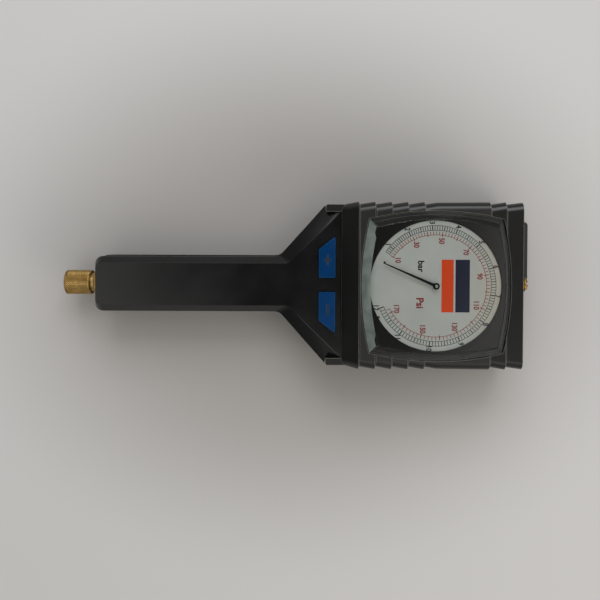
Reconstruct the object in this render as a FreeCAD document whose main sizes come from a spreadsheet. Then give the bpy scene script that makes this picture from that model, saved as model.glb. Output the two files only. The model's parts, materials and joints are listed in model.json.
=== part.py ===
"""Hand-held tyre pressure gauge with a round Bourdon dial, two push valves and a rubber boot.

Frame: +X towards the head's outlet end, +Y across the head, +Z out of the dial.
The origin is on the dial's axis, on the flat back that the tool lies on. Millimetres.
"""
import FreeCAD, Part
import math
import os
import re

import Sketcher

doc = FreeCAD.newDocument("tyre_pressure_gauge")
sheet = doc.addObject("Spreadsheet::Sheet", "Sizes")

# Driving dimensions, in millimetres and degrees.
SIZES = {
    # housings
    "wall": 2.5, "seam": 18, "rim": 31.5, "flat_front": 35.5, "head_front": 44,
    "handle_end": -211.6, "handle_half": 17.2, "flat_half": 13.2, "handle_round": 5,
    "flare_start": -95.9, "flare_fillet": 7, "flare_slope": 1.129, "flat_flare": -90,
    "flat_slope": 0.971, "shoulder_x": -67.2, "shoulder_y": 49.6,
    "strap_inner": 45.2, "head_start": -56, "head_half": 47.5, "head_round": 6, "head_ramp": 10,
    "rear_step": 0.6, "back_bevel": 4, "back_pad_half": 40,
    # rubber boot
    "boot_start": -57, "boot_end": 52.8, "boot_half": 51.3, "boot_back": 0.6, "boot_front": 47,
    "rib_drop": 1.4, "rib_pitch": 10, "first_rib": -47, "boot_gap": 0.3, "boot_round": 5,
    "boot_first_front": 37.6,
    # lens and dial
    "lens_corner": 40.5, "lens_bulge": 5, "lens_bevel": 5, "lens_foot": 44.6, "lens_edge": 47,
    "lens_top": 52, "lens_wall": 2.2, "bezel_bore": 40, "dial_radius": 42, "dial_top": 44,
    "dial_sheet": 0.8, "pointer_reach": 35,
    # Bourdon gauge
    "case_radius": 36.5, "case_wall": 1.5, "case_back": 12, "tube_line": 29, "tube_thick": 3.6,
    "tube_low": 14.5, "tube_high": 23.5, "root_angle": 165, "tip_angle": -120,
    "plate_low": 25, "plate_high": 33, "plate_thick": 1.2, "gear_module": 0.3,
    "pinion_teeth": 15, "sector_gear_teeth": 120, "sector_low": 28.8, "sector_thick": 1.2,
    "tail_length": 4.5, "tail_rest_x": 0.48, "tail_rest_y": -24.72,
    "tip_pin_x": -12.5, "tip_pin_y": -21.65,
    # valves and pipes
    "block_left": -80, "block_right": -52, "block_half": 25, "block_low": 4.5, "block_high": 26,
    "stem_x": -66, "stem_y": 17, "stem_radius": 2, "pipe_radius": 3, "pipe_bore": 2,
    "air_level": 18, "outlet_level": 24, "outlet_pipe_level": 9.3, "outlet_radius": 4.86,
    "outlet_end": 61.8, "fit_gap": 0.05,
    # buttons
    "button_left": -71, "button_right": -61, "button_inner": 4.5, "button_corner": 22,
    "button_outer": 30, "button_top": 38.2, "button_gap": 0.25,
    # air-line coupling
    "sleeve_radius": 7.9,
    "socket_radius": 3.9, "socket_depth": 10.6, "neck_radius": 6.3, "hexagon_corner": 8.08,
    # hanging hook
    "hook_x": 57.6, "hook_low": 6, "hook_high": 11, "hook_tip_y": 40.4, "hook_outer": 9.6,
    "hook_pin_radius": 1.6,
}
for row, (alias, number) in enumerate(SIZES.items(), 1):
    sheet.set(f"A{row}", alias)
    sheet.set(f"B{row}", str(number))
    sheet.setAlias(f"B{row}", alias)
doc.recompute()

NODES = []
V = FreeCAD.Vector
X_AXIS, Y_AXIS, Z_AXIS = V(1, 0, 0), V(0, 1, 0), V(0, 0, 1)
ALONG_X = FreeCAD.Rotation(Y_AXIS, 90)
ALONG_MINUS_X = FreeCAD.Rotation(Y_AXIS, -90)


def linked(formula):
    """A formula in alias words, as an expression on the spreadsheet's cells."""
    return re.sub(r"[a-z][a-z_]*", lambda word: "Sizes." + word.group() if word.group() in SIZES
                  else word.group(), str(formula))


def value(formula):
    """The number that a formula gives now."""
    result = sheet.evalExpression(linked(formula))
    return float(getattr(result, "Value", result))


def bind(item, prop, formula):
    item.setExpression(prop, linked(formula))


def place(item, x="0", y="0", z="0", rotation=None):
    """Put an object's placement at three formulas, turned as asked."""
    if rotation is not None:
        item.Placement = FreeCAD.Placement(V(), rotation)
    for prop, formula in (("x", x), ("y", y), ("z", z)):
        bind(item, f"Placement.Base.{prop}", formula)
    return item


# Primitives and booleans

def cylinder(name, radius, length, x="0", y="0", z="0", rotation=None):
    item = doc.addObject("Part::Cylinder", name)
    bind(item, "Radius", radius)
    bind(item, "Height", length)
    return place(item, x, y, z, rotation)


def box(name, x_low, x_high, y_low, y_high, z_low, z_high):
    item = doc.addObject("Part::Box", name)
    bind(item, "Length", f"({x_high}) - ({x_low})")
    bind(item, "Width", f"({y_high}) - ({y_low})")
    bind(item, "Height", f"({z_high}) - ({z_low})")
    return place(item, x_low, y_low, z_low)


def ring(name, radius, thick, x="0", y="0", z="0", rotation=None):
    item = doc.addObject("Part::Torus", name)
    bind(item, "Radius1", radius)
    bind(item, "Radius2", thick)
    return place(item, x, y, z, rotation)


def joined(name, pieces):
    item = doc.addObject("Part::MultiFuse", name)
    item.Shapes = pieces
    return item


def without(name, base, tools):
    item = doc.addObject("Part::Cut", name)
    item.Base = base
    item.Tool = tools[0] if len(tools) == 1 else joined(name + "_tools", tools)
    return item


def grouped(name, pieces):
    item = doc.addObject("Part::Compound", name)
    item.Links = pieces
    return item


def node(name, item):
    """Mark an object as a sub-part, which is written under this name."""
    item.Label = name
    NODES.append(item)
    return item


# Sketches, whose points are bound to the sheet

def origin_plane(body, role):
    return next(f for f in body.Origin.OriginFeatures if f.Role == role)


def sketch_on(body, name, role, level):
    sketch = body.newObject("Sketcher::SketchObject", name)
    sketch.AttachmentSupport = [(origin_plane(body, role), "")]
    sketch.MapMode = "FlatFace"
    bind(sketch, "AttachmentOffset.Base.z", level)
    return sketch


def hold(sketch, kind, items, number, formula):
    index = sketch.addConstraint(Sketcher.Constraint(kind, *items, number))
    sketch.setExpression(f"Constraints[{index}]", linked(formula))


def hold_point(sketch, item, where, point, formulas):
    hold(sketch, "DistanceX", (-1, 1, item, where), point.x, formulas[0])
    hold(sketch, "DistanceY", (-1, 1, item, where), point.y, formulas[1])


def outline(body, name, role, level, corners):
    """A closed sketch of straight sides. A corner is (x, y) or (x, y, round)."""
    sketch = sketch_on(body, name, role, level)
    draw_outline(sketch, corners)
    return sketch


def draw_outline(sketch, corners):
    count = len(corners)
    points = [V(value(c[0]), value(c[1]), 0) for c in corners]
    starts, ends, centres = [], [], []
    for i, corner in enumerate(corners):
        radius = value(corner[2]) if len(corner) > 2 else 0
        back = (points[i - 1] - points[i]).normalize()
        ahead = (points[(i + 1) % count] - points[i]).normalize()
        half = math.acos(max(-1, min(1, back.dot(ahead)))) / 2
        reach = radius / math.tan(half) if radius else 0
        starts.append(points[i] + back * reach)
        ends.append(points[i] + ahead * reach)
        inward = (back + ahead).normalize() if radius else V()
        centres.append(points[i] + inward * (radius / math.sin(half) if radius else 0))
    sides = [sketch.addGeometry(Part.LineSegment(ends[i], starts[(i + 1) % count]), False)
             for i in range(count)]
    for i, corner in enumerate(corners):
        before, after = sides[i - 1], sides[i]
        if len(corner) == 2:
            sketch.addConstraint(Sketcher.Constraint("Coincident", before, 2, after, 1))
            hold_point(sketch, after, 1, points[i], corner)
            continue
        from_centre, to_centre = starts[i] - centres[i], ends[i] - centres[i]
        forward = from_centre.cross(to_centre).z > 0
        first, last = (1, 2) if forward else (2, 1)
        low, high = (from_centre, to_centre) if forward else (to_centre, from_centre)
        circle = Part.Circle(centres[i], Z_AXIS, value(corner[2]))
        angles = [math.atan2(low.y, low.x), math.atan2(high.y, high.x)]
        arc = sketch.addGeometry(Part.ArcOfCircle(circle, *angles), False)
        dot = sketch.addGeometry(Part.Point(points[i]), True)
        sketch.addConstraint(Sketcher.Constraint("Tangent", before, 2, arc, first))
        sketch.addConstraint(Sketcher.Constraint("Tangent", arc, last, after, 1))
        sketch.addConstraint(Sketcher.Constraint("PointOnObject", dot, 1, before))
        sketch.addConstraint(Sketcher.Constraint("PointOnObject", dot, 1, after))
        hold(sketch, "Radius", (arc,), value(corner[2]), corner[2])
        hold_point(sketch, dot, 1, points[i], corner)


def draw_circle(sketch, x, y, radius):
    centre = V(value(x), value(y), 0)
    circle = sketch.addGeometry(Part.Circle(centre, Z_AXIS, value(radius)), False)
    hold(sketch, "Radius", (circle,), value(radius), radius)
    hold_point(sketch, circle, 3, centre, (x, y))


def circles(body, name, role, level, items):
    sketch = sketch_on(body, name, role, level)
    for x, y, radius in items:
        draw_circle(sketch, x, y, radius)
    return sketch


def pillow(body, name, level, corner, bulge):
    """A square sketch whose four sides are bowed outwards."""
    sketch = sketch_on(body, name, "XY_Plane", level)
    reach, sag = value(corner), value(bulge)
    signs = ((1, 1), (-1, 1), (-1, -1), (1, -1))
    arcs = []
    for (ax, ay), (bx, by) in zip(signs, signs[1:] + signs[:1]):
        out = V(ax + bx, ay + by, 0).normalize() * (reach + sag)
        curve = Part.Arc(V(ax * reach, ay * reach, 0), out, V(bx * reach, by * reach, 0))
        arcs.append(sketch.addGeometry(curve, False))
    radius = f"(({corner}) ^ 2 + ({bulge}) ^ 2) / (2 * ({bulge}))"
    for i, arc in enumerate(arcs):
        sketch.addConstraint(Sketcher.Constraint("Coincident", arc, 2, arcs[(i + 1) % 4], 1))
        hold(sketch, "Radius", (arc,), value(radius), radius)
        sx, sy = signs[i]
        formulas = (f"{sx} * ({corner})", f"{sy} * ({corner})")
        hold_point(sketch, arc, 1, V(sx * reach, sy * reach, 0), formulas)
    return sketch


# PartDesign features

def new_body(name):
    return doc.addObject("PartDesign::Body", name + "_body")


def pad(body, sketch, length, name=None, symmetric=False):
    item = body.newObject("PartDesign::Pad", name or sketch.Name + "_pad")
    item.Profile = sketch
    bind(item, "Length", length)
    item.Midplane = symmetric
    return item


def pocket(body, sketch, length, upwards=True, symmetric=False):
    """Cut a sketch's outline away, and make sure that something went."""
    doc.recompute()
    before = body.Shape.Volume
    item = body.newObject("PartDesign::Pocket", sketch.Name + "_pocket")
    item.Profile = sketch
    item.Reversed = upwards
    bind(item, "Length", length)
    item.Midplane = symmetric
    doc.recompute()
    if body.Shape.Volume > before - 1e-4:
        raise RuntimeError(sketch.Name + " cuts nothing")
    return item


def loft(body, kind, name, sections):
    item = body.newObject("PartDesign::" + kind, name)
    item.Profile = sections[0]
    item.Sections = sections[1:]
    item.Ruled = True
    return item


def turned(name, corners, x="0", y="0", z="0", rotation=None):
    """A body turned about its own Z axis from (radius, height) corners."""
    body = new_body(name)
    sketch = outline(body, name + "_section", "XZ_Plane", "0", corners)
    item = body.newObject("PartDesign::Revolution", name + "_turn")
    item.Profile = sketch
    item.ReferenceAxis = (sketch, ["V_Axis"])
    item.Angle = 360
    place(body, x, y, z, rotation)
    return node(name, body)


def soften(body, name, size, wanted, kind="Fillet"):
    """Round or bevel the body's edges that a test picks by their middle point and direction."""
    doc.recompute()
    base = body.Tip
    picked = []
    for number, edge in enumerate(base.Shape.Edges, 1):
        middle = edge.valueAt((edge.FirstParameter + edge.LastParameter) / 2)
        along = edge.tangentAt((edge.FirstParameter + edge.LastParameter) / 2)
        if wanted(middle, along, edge):
            picked.append(f"Edge{number}")
    item = body.newObject("PartDesign::" + kind, name)
    item.Base = (base, picked)
    bind(item, "Radius" if kind == "Fillet" else "Size", size)
    return item


def mirrored_corners(half):
    """A list of corners with y above 0, from left to right, closed by its mirror image."""
    return list(half) + [(c[0], f"-({c[1]})") + tuple(c[2:]) for c in reversed(half)]


# Housings

def handle_and_neck(inset, end_inset, half):
    """Outline of handle, flare and head, moved in by an inset, for y above 0."""
    slant = f"1.5 * ({inset})"
    return [
        ("handle_end + " + end_inset, half, "handle_round"),
        (f"flare_start + 0.55 * ({inset})", half, f"flare_fillet + {inset}"),
        (f"shoulder_x", f"shoulder_y - ({slant})"),
        ("shoulder_x", f"strap_inner - ({inset})"),
        (f"head_start + ({inset})", f"strap_inner - ({inset})"),
        (f"head_start + ({inset})", f"head_half - ({inset})"),
        (f"head_half - ({inset})", f"head_half - ({inset})", f"head_round - 0.5 * ({inset})"),
    ]


SCREW_PLACES = [("36.5", "36.5"), ("36.5", "-36.5"), ("-36.5", "36.5"), ("-36.5", "-36.5"),
                ("-118", "9.6"), ("-118", "-9.6"), ("-198", "9.6"), ("-198", "-9.6")]


def front_housing():
    body = new_body("front_housing")
    low = mirrored_corners(handle_and_neck("0", "0", "handle_half"))
    pad(body, outline(body, "front_skirt", "XY_Plane", "seam", low), "rim - seam")
    reach = "head_start + 4"
    neck = [("handle_end", "handle_half", "handle_round"),
            ("flare_start", "handle_half", "flare_fillet"),
            (reach, f"handle_half + flare_slope * ({reach} - flare_start)")]
    flat = [("handle_end + 1.3", "flat_half", "handle_round - 2"),
            ("flat_flare", "flat_half", "flare_fillet"),
            (reach, f"flat_half + flat_slope * ({reach} - flat_flare)")]
    loft(body, "AdditiveLoft", "front_bevel", [
        outline(body, "bevel_foot", "XY_Plane", "rim", mirrored_corners(neck)),
        outline(body, "bevel_top", "XY_Plane", "flat_front", mirrored_corners(flat))])
    for sign, name in (("1", "upper"), ("-1", "lower")):
        seat = [("shoulder_x", f"{sign} * strap_inner"), (f"{reach} + 1", f"{sign} * strap_inner"),
                (f"{reach} + 1", f"{sign} * (strap_inner + 30)"),
                ("shoulder_x", f"{sign} * (strap_inner + 30)")]
        pocket(body, outline(body, name + "_strap_seat", "XY_Plane", "rim", seat), "10")
    block = mirrored_corners([("head_start", "head_half - 0.3"),
                              ("head_half - 0.3", "head_half - 0.3", "head_round")])
    pad(body, outline(body, "head_block", "XY_Plane", "rim", block), "head_front - rim")
    slope = [("head_start - 1", "flat_front"), ("head_start", "flat_front"),
             ("head_start + head_ramp", "head_front"),
             ("head_start + head_ramp", "head_front + 1"), ("head_start - 1", "head_front + 1")]
    pocket(body, outline(body, "head_slope", "XZ_Plane", "0", slope), "2 * head_half + 2",
           symmetric=True)
    inner = mirrored_corners(handle_and_neck("wall", "wall", "handle_half - wall"))
    pocket(body, outline(body, "front_hollow", "XY_Plane", "seam", inner), "rim - seam")
    upper = mirrored_corners([("handle_end + 6", "flat_half - 1.5", "2"),
                              ("flare_start + 6", "flat_half - 1.5"),
                              ("shoulder_x + 2", "shoulder_y - 17"),
                              ("head_start + 4", "strap_inner - 12")])
    pocket(body, outline(body, "neck_hollow", "XY_Plane", "rim", upper), "flat_front - wall - rim")
    deep = mirrored_corners([("head_start + head_ramp + 2", "head_half - wall - 0.4"),
                             ("head_half - wall - 0.4", "head_half - wall - 0.4", "head_round")])
    pocket(body, outline(body, "head_hollow", "XY_Plane", "rim - 1", deep),
           "head_front - wall - rim + 1")
    pocket(body, circles(body, "case_opening", "XY_Plane", "head_front - wall - 1",
                         [("0", "0", "dial_radius + 0.2")]), "wall + 2")
    for side_sign, name in (("1", "plus_opening"), ("-1", "minus_opening")):
        hole = button_corners(side_sign, "button_gap")
        pocket(body, outline(body, name, "XY_Plane", "rim - 2", hole), "8")
    pocket(body, circles(body, "front_coupling_hole", "YZ_Plane", "handle_end - 1",
                         [("0", "air_level", "neck_radius + 0.1")]), "wall + 6")
    pocket(body, circles(body, "stub_hole", "YZ_Plane", "head_half - wall - 2",
                         [("0", "outlet_level", "4.6")]), "wall + 4")
    for name, places, top in (("head_bosses", SCREW_PLACES[:4], "head_front"),
                              ("handle_bosses", SCREW_PLACES[4:], "flat_front")):
        pad(body, circles(body, name, "XY_Plane", "seam", [(x, y, "3") for x, y in places]),
            f"{top} - wall - seam + 1")
    pocket(body, circles(body, "boss_holes", "XY_Plane", "seam",
                         [(x, y, "1.1") for x, y in SCREW_PLACES]), "10")
    node("front_housing", body)


def rear_housing():
    body = new_body("rear_housing")
    step = "rear_step"
    shell = [
        ("handle_end - 0.2", "handle_half + " + step, "handle_round"),
        ("flare_start", "handle_half + " + step, "flare_fillet"),
        ("shoulder_x", "shoulder_y"), ("shoulder_x", "strap_inner"),
        ("head_start", "strap_inner"), ("head_start", "head_half"),
        ("head_half", "head_half", "head_round")]
    pad(body, outline(body, "rear_skirt", "XY_Plane", "back_bevel", mirrored_corners(shell)),
        "seam - back_bevel")
    neck_low = [("handle_end + 3.8", "handle_half - 3.4", "handle_round"),
                ("flare_start + 4", "handle_half - 3.4", "flare_fillet"),
                ("shoulder_x", "shoulder_y - 9"), ("shoulder_x", "strap_inner - 5.5"),
                ("boot_start - 0.4", "strap_inner - 5.5")]
    neck_top = [("handle_end - 0.2", "handle_half + " + step, "handle_round"),
                ("flare_start", "handle_half + " + step, "flare_fillet"),
                ("shoulder_x", "shoulder_y"), ("shoulder_x", "strap_inner"),
                ("boot_start - 0.4", "strap_inner")]
    loft(body, "AdditiveLoft", "back_bevels", [
        outline(body, "back_face", "XY_Plane", "0", mirrored_corners(neck_low)),
        outline(body, "back_rim", "XY_Plane", "back_bevel", mirrored_corners(neck_top))])
    pad_corners = mirrored_corners([("boot_start - 0.5", "strap_inner - 5.5"),
                                    ("boot_start - 0.4", "strap_inner - 5.5"),
                                    ("boot_start + 0.1", "back_pad_half"),
                                    ("back_pad_half + 1", "back_pad_half", "head_round")])
    pad(body, outline(body, "back_pad", "XY_Plane", "0", pad_corners), "back_bevel")
    inner = mirrored_corners([
        ("handle_end + wall", "handle_half + rear_step - wall", "handle_round - 1"),
        ("flare_start + 1.4", "handle_half + rear_step - wall", "flare_fillet"),
        ("shoulder_x", "shoulder_y - 3.8"), ("shoulder_x", "strap_inner - wall"),
        ("head_start + wall", "strap_inner - wall"), ("head_start + wall", "head_half - wall"),
        ("head_half - wall", "head_half - wall", "head_round - 1")])
    pocket(body, outline(body, "rear_hollow", "XY_Plane", "back_bevel + wall", inner),
           "seam - back_bevel - wall")
    low_hollow = mirrored_corners([("handle_end + 7", "handle_half - 6.5"),
                                   ("flare_start + 5", "handle_half - 6.5"),
                                   ("shoulder_x", "shoulder_y - 13"),
                                   ("back_pad_half - 2", "strap_inner - 9")])
    pocket(body, outline(body, "floor_hollow", "XY_Plane", "wall", low_hollow), "back_bevel")
    bosses = sketch_on(body, "rear_bosses", "XY_Plane", "wall")
    for x, y in SCREW_PLACES:
        draw_circle(bosses, x, y, "3.2")
    pad(body, bosses, "seam - wall")
    pocket(body, circles(body, "screw_recesses", "XY_Plane", "-1",
                         [(x, y, "2.6") for x, y in SCREW_PLACES]), "3.5 + 1")
    pocket(body, circles(body, "screw_holes", "XY_Plane", "0",
                         [(x, y, "1.5") for x, y in SCREW_PLACES]), "seam")
    pocket(body, circles(body, "rear_coupling_hole", "YZ_Plane", "handle_end - 1",
                         [("0", "air_level", "neck_radius + 0.1")]), "wall + 6")
    lugs = body.newObject("Sketcher::SketchObject", "lug_outline")
    lugs.AttachmentSupport = [(origin_plane(body, "XY_Plane"), "")]
    lugs.MapMode = "FlatFace"
    bind(lugs, "AttachmentOffset.Base.z", "3")
    draw_outline(lugs, [("head_half - 1", "5.5"), ("head_half - 1", "-5.5"),
                        ("hook_x + 4.6", "-5.5", "4.5"), ("hook_x + 4.6", "5.5", "4.5")])
    pad(body, lugs, "11.2")
    fork = outline(body, "fork_slot", "XZ_Plane", "0", [
        ("head_half", "hook_low - 0.2"), ("hook_x + 6", "hook_low - 0.2"),
        ("hook_x + 6", "hook_high + 0.2"), ("head_half", "hook_high + 0.2")])
    pocket(body, fork, "14", symmetric=True)
    pocket(body, circles(body, "hook_pin_hole", "XY_Plane", "2",
                         [("hook_x", "0", "hook_pin_radius")]), "13")
    node("rear_housing", body)


def housing_screws():
    screws = []
    for number, (x, y) in enumerate(SCREW_PLACES, 1):
        head = cylinder(f"screw_head_{number}", "2.4", "2", x, y, "1.5")
        shank = cylinder(f"screw_shank_{number}", "1.05", "20", x, y, "3.5")
        socket = cylinder(f"screw_drive_{number}", "1", "1", x, y, "1.5")
        whole = joined(f"screw_{number}", [head, shank])
        screws.append(without(f"housing_screw_{number}", whole, [socket]))
    node("housing_screws", grouped("housing_screws_group", screws))


# Rubber boot

def boot_section(body, number, x, lower, front):
    half = f"boot_half - {lower}"
    back = f"boot_back + {lower}"
    corners = [(f"-({half})", back, "boot_round"), (half, back, "boot_round"),
               (half, front, "boot_round"), (f"-({half})", front, "boot_round")]
    return outline(body, f"boot_section_{number}", "YZ_Plane", x, corners)


def rubber_boot():
    body = new_body("rubber_boot")
    stations = [("boot_start", "rib_drop", "boot_first_front")]
    for rib in range(5):
        peak = f"first_rib + {rib} * rib_pitch"
        stations.append((peak, "0", "boot_front"))
        stations.append((peak + " + 0.8", "rib_drop", "boot_front - rib_drop"))
    stations.append(("first_rib + 4.8 * rib_pitch", "0.3", "boot_front - 0.3"))
    for rib in range(2):
        peak = f"boot_end - {2 - rib * 0.96} * rib_pitch"
        stations.append((peak, "0", "boot_front"))
        stations.append((peak + " + 0.8", "rib_drop", "boot_front - rib_drop"))
    stations.append(("boot_end", "0.2", "boot_front - 0.2"))
    sections = [boot_section(body, i, *s) for i, s in enumerate(stations)]
    loft(body, "AdditiveLoft", "ribbed_skin", sections)
    for sign, name in (("1", "upper"), ("-1", "lower")):
        strap = [("shoulder_x + 0.3", f"{sign} * (strap_inner + boot_gap)"),
                 ("shoulder_x + 0.3", f"{sign} * (shoulder_y + 0.4)", "1.5"),
                 ("boot_start + 2", f"{sign} * (boot_half - rib_drop)"),
                 ("boot_start + 2", f"{sign} * (strap_inner + boot_gap)")]
        pad(body, outline(body, name + "_strap", "XY_Plane", "boot_back + 5", strap),
            "boot_first_front - boot_back - 5")
    cavity = [("boot_start - 1", "back_bevel - 0.2"),
              ("head_half + boot_gap", "back_bevel - 0.2"),
              ("head_half + boot_gap", "head_front + boot_gap"),
              ("head_start + head_ramp - 0.2", "head_front + boot_gap"),
              ("head_start - 0.4", "flat_front + boot_gap"),
              ("boot_start - 1", "flat_front + boot_gap")]
    pocket(body, outline(body, "boot_cavity", "XZ_Plane", "0", cavity),
           "2 * (head_half + boot_gap)", symmetric=True)
    pocket(body, pillow(body, "lens_opening", "head_front - 6", "lens_corner + boot_gap",
                        "lens_bulge"), "12")
    back = [("boot_start - 1", "-back_pad_half - boot_gap"),
            ("back_pad_half + 1 + boot_gap", "-back_pad_half - boot_gap", "head_round"),
            ("back_pad_half + 1 + boot_gap", "back_pad_half + boot_gap", "head_round"),
            ("boot_start - 1", "back_pad_half + boot_gap")]
    pocket(body, outline(body, "back_opening", "XY_Plane", "-1", back), "6")
    pocket(body, circles(body, "stub_opening", "YZ_Plane", "head_half - 2",
                         [("0", "outlet_level", "outlet_radius + 1.2")]),
           "boot_end - head_half + 4")
    lugs = [("-6.2", "0"), ("6.2", "0"), ("6.2", "14.8"), ("-6.2", "14.8")]
    pocket(body, outline(body, "lug_opening", "YZ_Plane", "head_half - 2", lugs),
           "boot_end - head_half + 4")
    node("rubber_boot", body)


# Lens, bezel and dial

def lens():
    body = new_body("lens")
    pad(body, pillow(body, "lens_foot_line", "lens_foot", "lens_corner", "lens_bulge"),
        "lens_edge - lens_foot")
    loft(body, "AdditiveLoft", "lens_bevel_loft", [
        pillow(body, "lens_edge_line", "lens_edge", "lens_corner", "lens_bulge"),
        pillow(body, "lens_top_line", "lens_top", "lens_corner - lens_bevel", "lens_bulge")])
    pocket(body, pillow(body, "lens_inside", "lens_foot", "lens_corner - lens_wall",
                        "lens_bulge"), "lens_edge - lens_foot")
    doc.recompute()
    loft(body, "SubtractiveLoft", "lens_roof", [
        pillow(body, "roof_foot", "lens_edge", "lens_corner - lens_wall", "lens_bulge"),
        pillow(body, "roof_top", "lens_top - lens_wall",
               "lens_corner - lens_wall - lens_bevel * 0.56", "lens_bulge")])
    node("lens", body)


def lens_gasket():
    body = new_body("lens_gasket")
    pad(body, pillow(body, "gasket_line", "head_front + 0.02", "lens_corner - 0.1", "lens_bulge"),
        "lens_foot - head_front - 0.04")
    pocket(body, pillow(body, "gasket_inside", "head_front", "lens_corner - lens_wall + 0.1",
                        "lens_bulge"), "1")
    node("lens_gasket", body)


def bezel_plate():
    body = new_body("bezel_plate")
    pad(body, pillow(body, "bezel_line", "head_front + 0.02", "lens_corner - lens_wall - 0.3",
                     "lens_bulge"), "1.2")
    pocket(body, circles(body, "bezel_window", "XY_Plane", "head_front - 1",
                         [("0", "0", "bezel_bore")]), "4")
    soften(body, "bezel_window_bevel", "0.6", lambda p, d, e: e.Length > 200
           and p.z > value("head_front") + 1 and isinstance(e.Curve, Part.Circle)
           and abs(e.Curve.Radius - value("bezel_bore")) < 0.01, "Chamfer")
    node("bezel_plate", body)


def dial_plate():
    disc = cylinder("dial_disc", "dial_radius - 0.1", "dial_sheet", z="dial_top - dial_sheet")
    hole = cylinder("dial_centre_hole", "1.6", "2", z="dial_top - 1.5")
    node("dial_plate", without("dial_sheet_metal", disc, [hole]))


def gauge_case():
    top = "dial_top - dial_sheet - 0.02"
    body = turned("gauge_case", [
        ("0", "case_back"), ("case_radius", "case_back", "1.5"),
        ("case_radius", f"{top} - 1"), ("dial_radius", f"{top} - 1"), ("dial_radius", top),
        ("case_radius - case_wall", top), ("case_radius - case_wall", "case_back + case_wall", "1"),
        ("0", "case_back + case_wall")])
    hole = circles(body, "stem_hole", "YZ_Plane", "-case_radius - 2",
                   [("0", "air_level + 1", "3.6")])
    pocket(body, hole, "6")
    return body


# Bourdon tube and movement

def polar(radius, angle):
    return V(radius * math.cos(math.radians(angle)), radius * math.sin(math.radians(angle)), 0)


def bourdon_socket():
    block = box("socket_block", "-34", "-24.5", "-7", "7", "14", "plate_low - 0.02")
    stem = cylinder("socket_stem", "3.5", "18.4", "block_right + 0.1", "0", "air_level + 1",
                    ALONG_X)
    bore = cylinder("socket_bore", "1.2", "22", "block_right", "0", "air_level + 1", ALONG_X)
    lip = doc.addObject("Part::Box", "socket_lip")
    bind(lip, "Length", "tube_thick + 1.6")
    lip.Width = 3
    bind(lip, "Height", "plate_low - 14.02")
    turn = FreeCAD.Rotation(Z_AXIS, value("root_angle"))
    corner = V(value("tube_line - tube_thick / 2 - 0.8"), 0.02, 14)
    lip.Placement = FreeCAD.Placement(turn.multVec(corner), turn)
    node("bourdon_socket", without("socket_turned", joined("socket_whole", [block, stem, lip]),
                                   [bore]))


def tube_arc(name):
    """The flattened tube's outer form, swept round the dial axis."""
    body = new_body(name)
    half = "tube_thick / 2"
    section = outline(body, name + "_section", "XZ_Plane", "0", [
        (f"tube_line - {half}", "tube_low", f"{half} - 0.1"),
        (f"tube_line + {half}", "tube_low", f"{half} - 0.1"),
        (f"tube_line + {half}", "tube_high", f"{half} - 0.1"),
        (f"tube_line - {half}", "tube_high", f"{half} - 0.1")])
    item = body.newObject("PartDesign::Revolution", name + "_sweep")
    item.Profile = section
    item.ReferenceAxis = (section, ["V_Axis"])
    bind(item, "Angle", "root_angle - tip_angle")
    place(body)
    body.setExpression("Placement.Rotation.Angle", linked("tip_angle") + " * 1deg")
    return body


def bourdon_tube():
    node("bourdon_tube", tube_arc("bourdon_tube"))


def tube_tip():
    """End cap on the tube, with a lug that carries the link's pin."""
    cap_angle = value("tip_angle") - 2.6
    at = polar(value("tube_line"), cap_angle)
    cap = doc.addObject("Part::Box", "tip_cap")
    bind(cap, "Length", "tube_thick + 1.2")
    cap.Width = 2.4
    bind(cap, "Height", "tube_high - tube_low + 1.4")
    turn = FreeCAD.Rotation(Z_AXIS, cap_angle)
    cap.Placement = FreeCAD.Placement(at + V(0, 0, value("tube_low - 0.7")) + turn.multVec(
        V(-value("tube_thick + 1.2") / 2, -1.2, 0)), turn)
    lug = doc.addObject("Part::Box", "tip_lug")
    lug.Length = 6.4
    lug.Width = 2.4
    lug.Height = 3.8
    lug.Placement = FreeCAD.Placement(at + V(0, 0, value("tube_high - 0.5")) + turn.multVec(
        V(-5.2, -1.2, 0)), turn)
    boss = cylinder("tip_boss", "1.5", "3.8", "tip_pin_x", "tip_pin_y", "tube_high - 0.5")
    pin = cylinder("tip_pin", "0.5", "4.8", "tip_pin_x", "tip_pin_y", "tube_high")
    node("tube_tip", joined("tube_tip_whole", [cap, lug, boss, pin]))


def link():
    """Flat bar from the tube's tip to the sector's tail, with a clearance slot at the tail."""
    start = V(value("tip_pin_x"), value("tip_pin_y"), 0)
    finish = V(value("tail_rest_x"), value("tail_rest_y"), 0)
    along = finish - start
    level = value("tube_high + 3.5")
    turn = FreeCAD.Rotation(X_AXIS, along)
    bar = doc.addObject("Part::Box", "link_bar")
    bar.Length = along.Length
    bar.Width = 1.8
    bar.Height = 0.8
    bar.Placement = FreeCAD.Placement(start + V(0, 0, level) + turn.multVec(V(0, -0.9, 0)), turn)
    eyes, holes = [], []
    for number, (point, radius, hole) in enumerate(((start, 1.3, 0.56), (finish, 1.6, 0.8))):
        eye = doc.addObject("Part::Cylinder", f"link_eye_{number}")
        eye.Radius = radius
        eye.Height = 0.8
        eye.Placement.Base = point + V(0, 0, level)
        eyes.append(eye)
        bore = doc.addObject("Part::Cylinder", f"link_hole_{number}")
        bore.Radius = hole
        bore.Height = 2
        bore.Placement.Base = point + V(0, 0, level - 0.6)
        holes.append(bore)
    node("link", without("link_whole", joined("link_blank", [bar] + eyes), holes))


def plate_outline(body, name, level, left):
    centre = f"-gear_module * (pinion_teeth + sector_gear_teeth) / 2"
    corners = [(left, "-5.5", "1"), ("-9", "-5.5"), ("-9", f"{centre} - 2.4", "3"),
               ("9", f"{centre} - 2.4", "3"), ("9", "7.5", "3"), (left, "7.5", "0.8")]
    return outline(body, name, "XY_Plane", level, corners)


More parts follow.
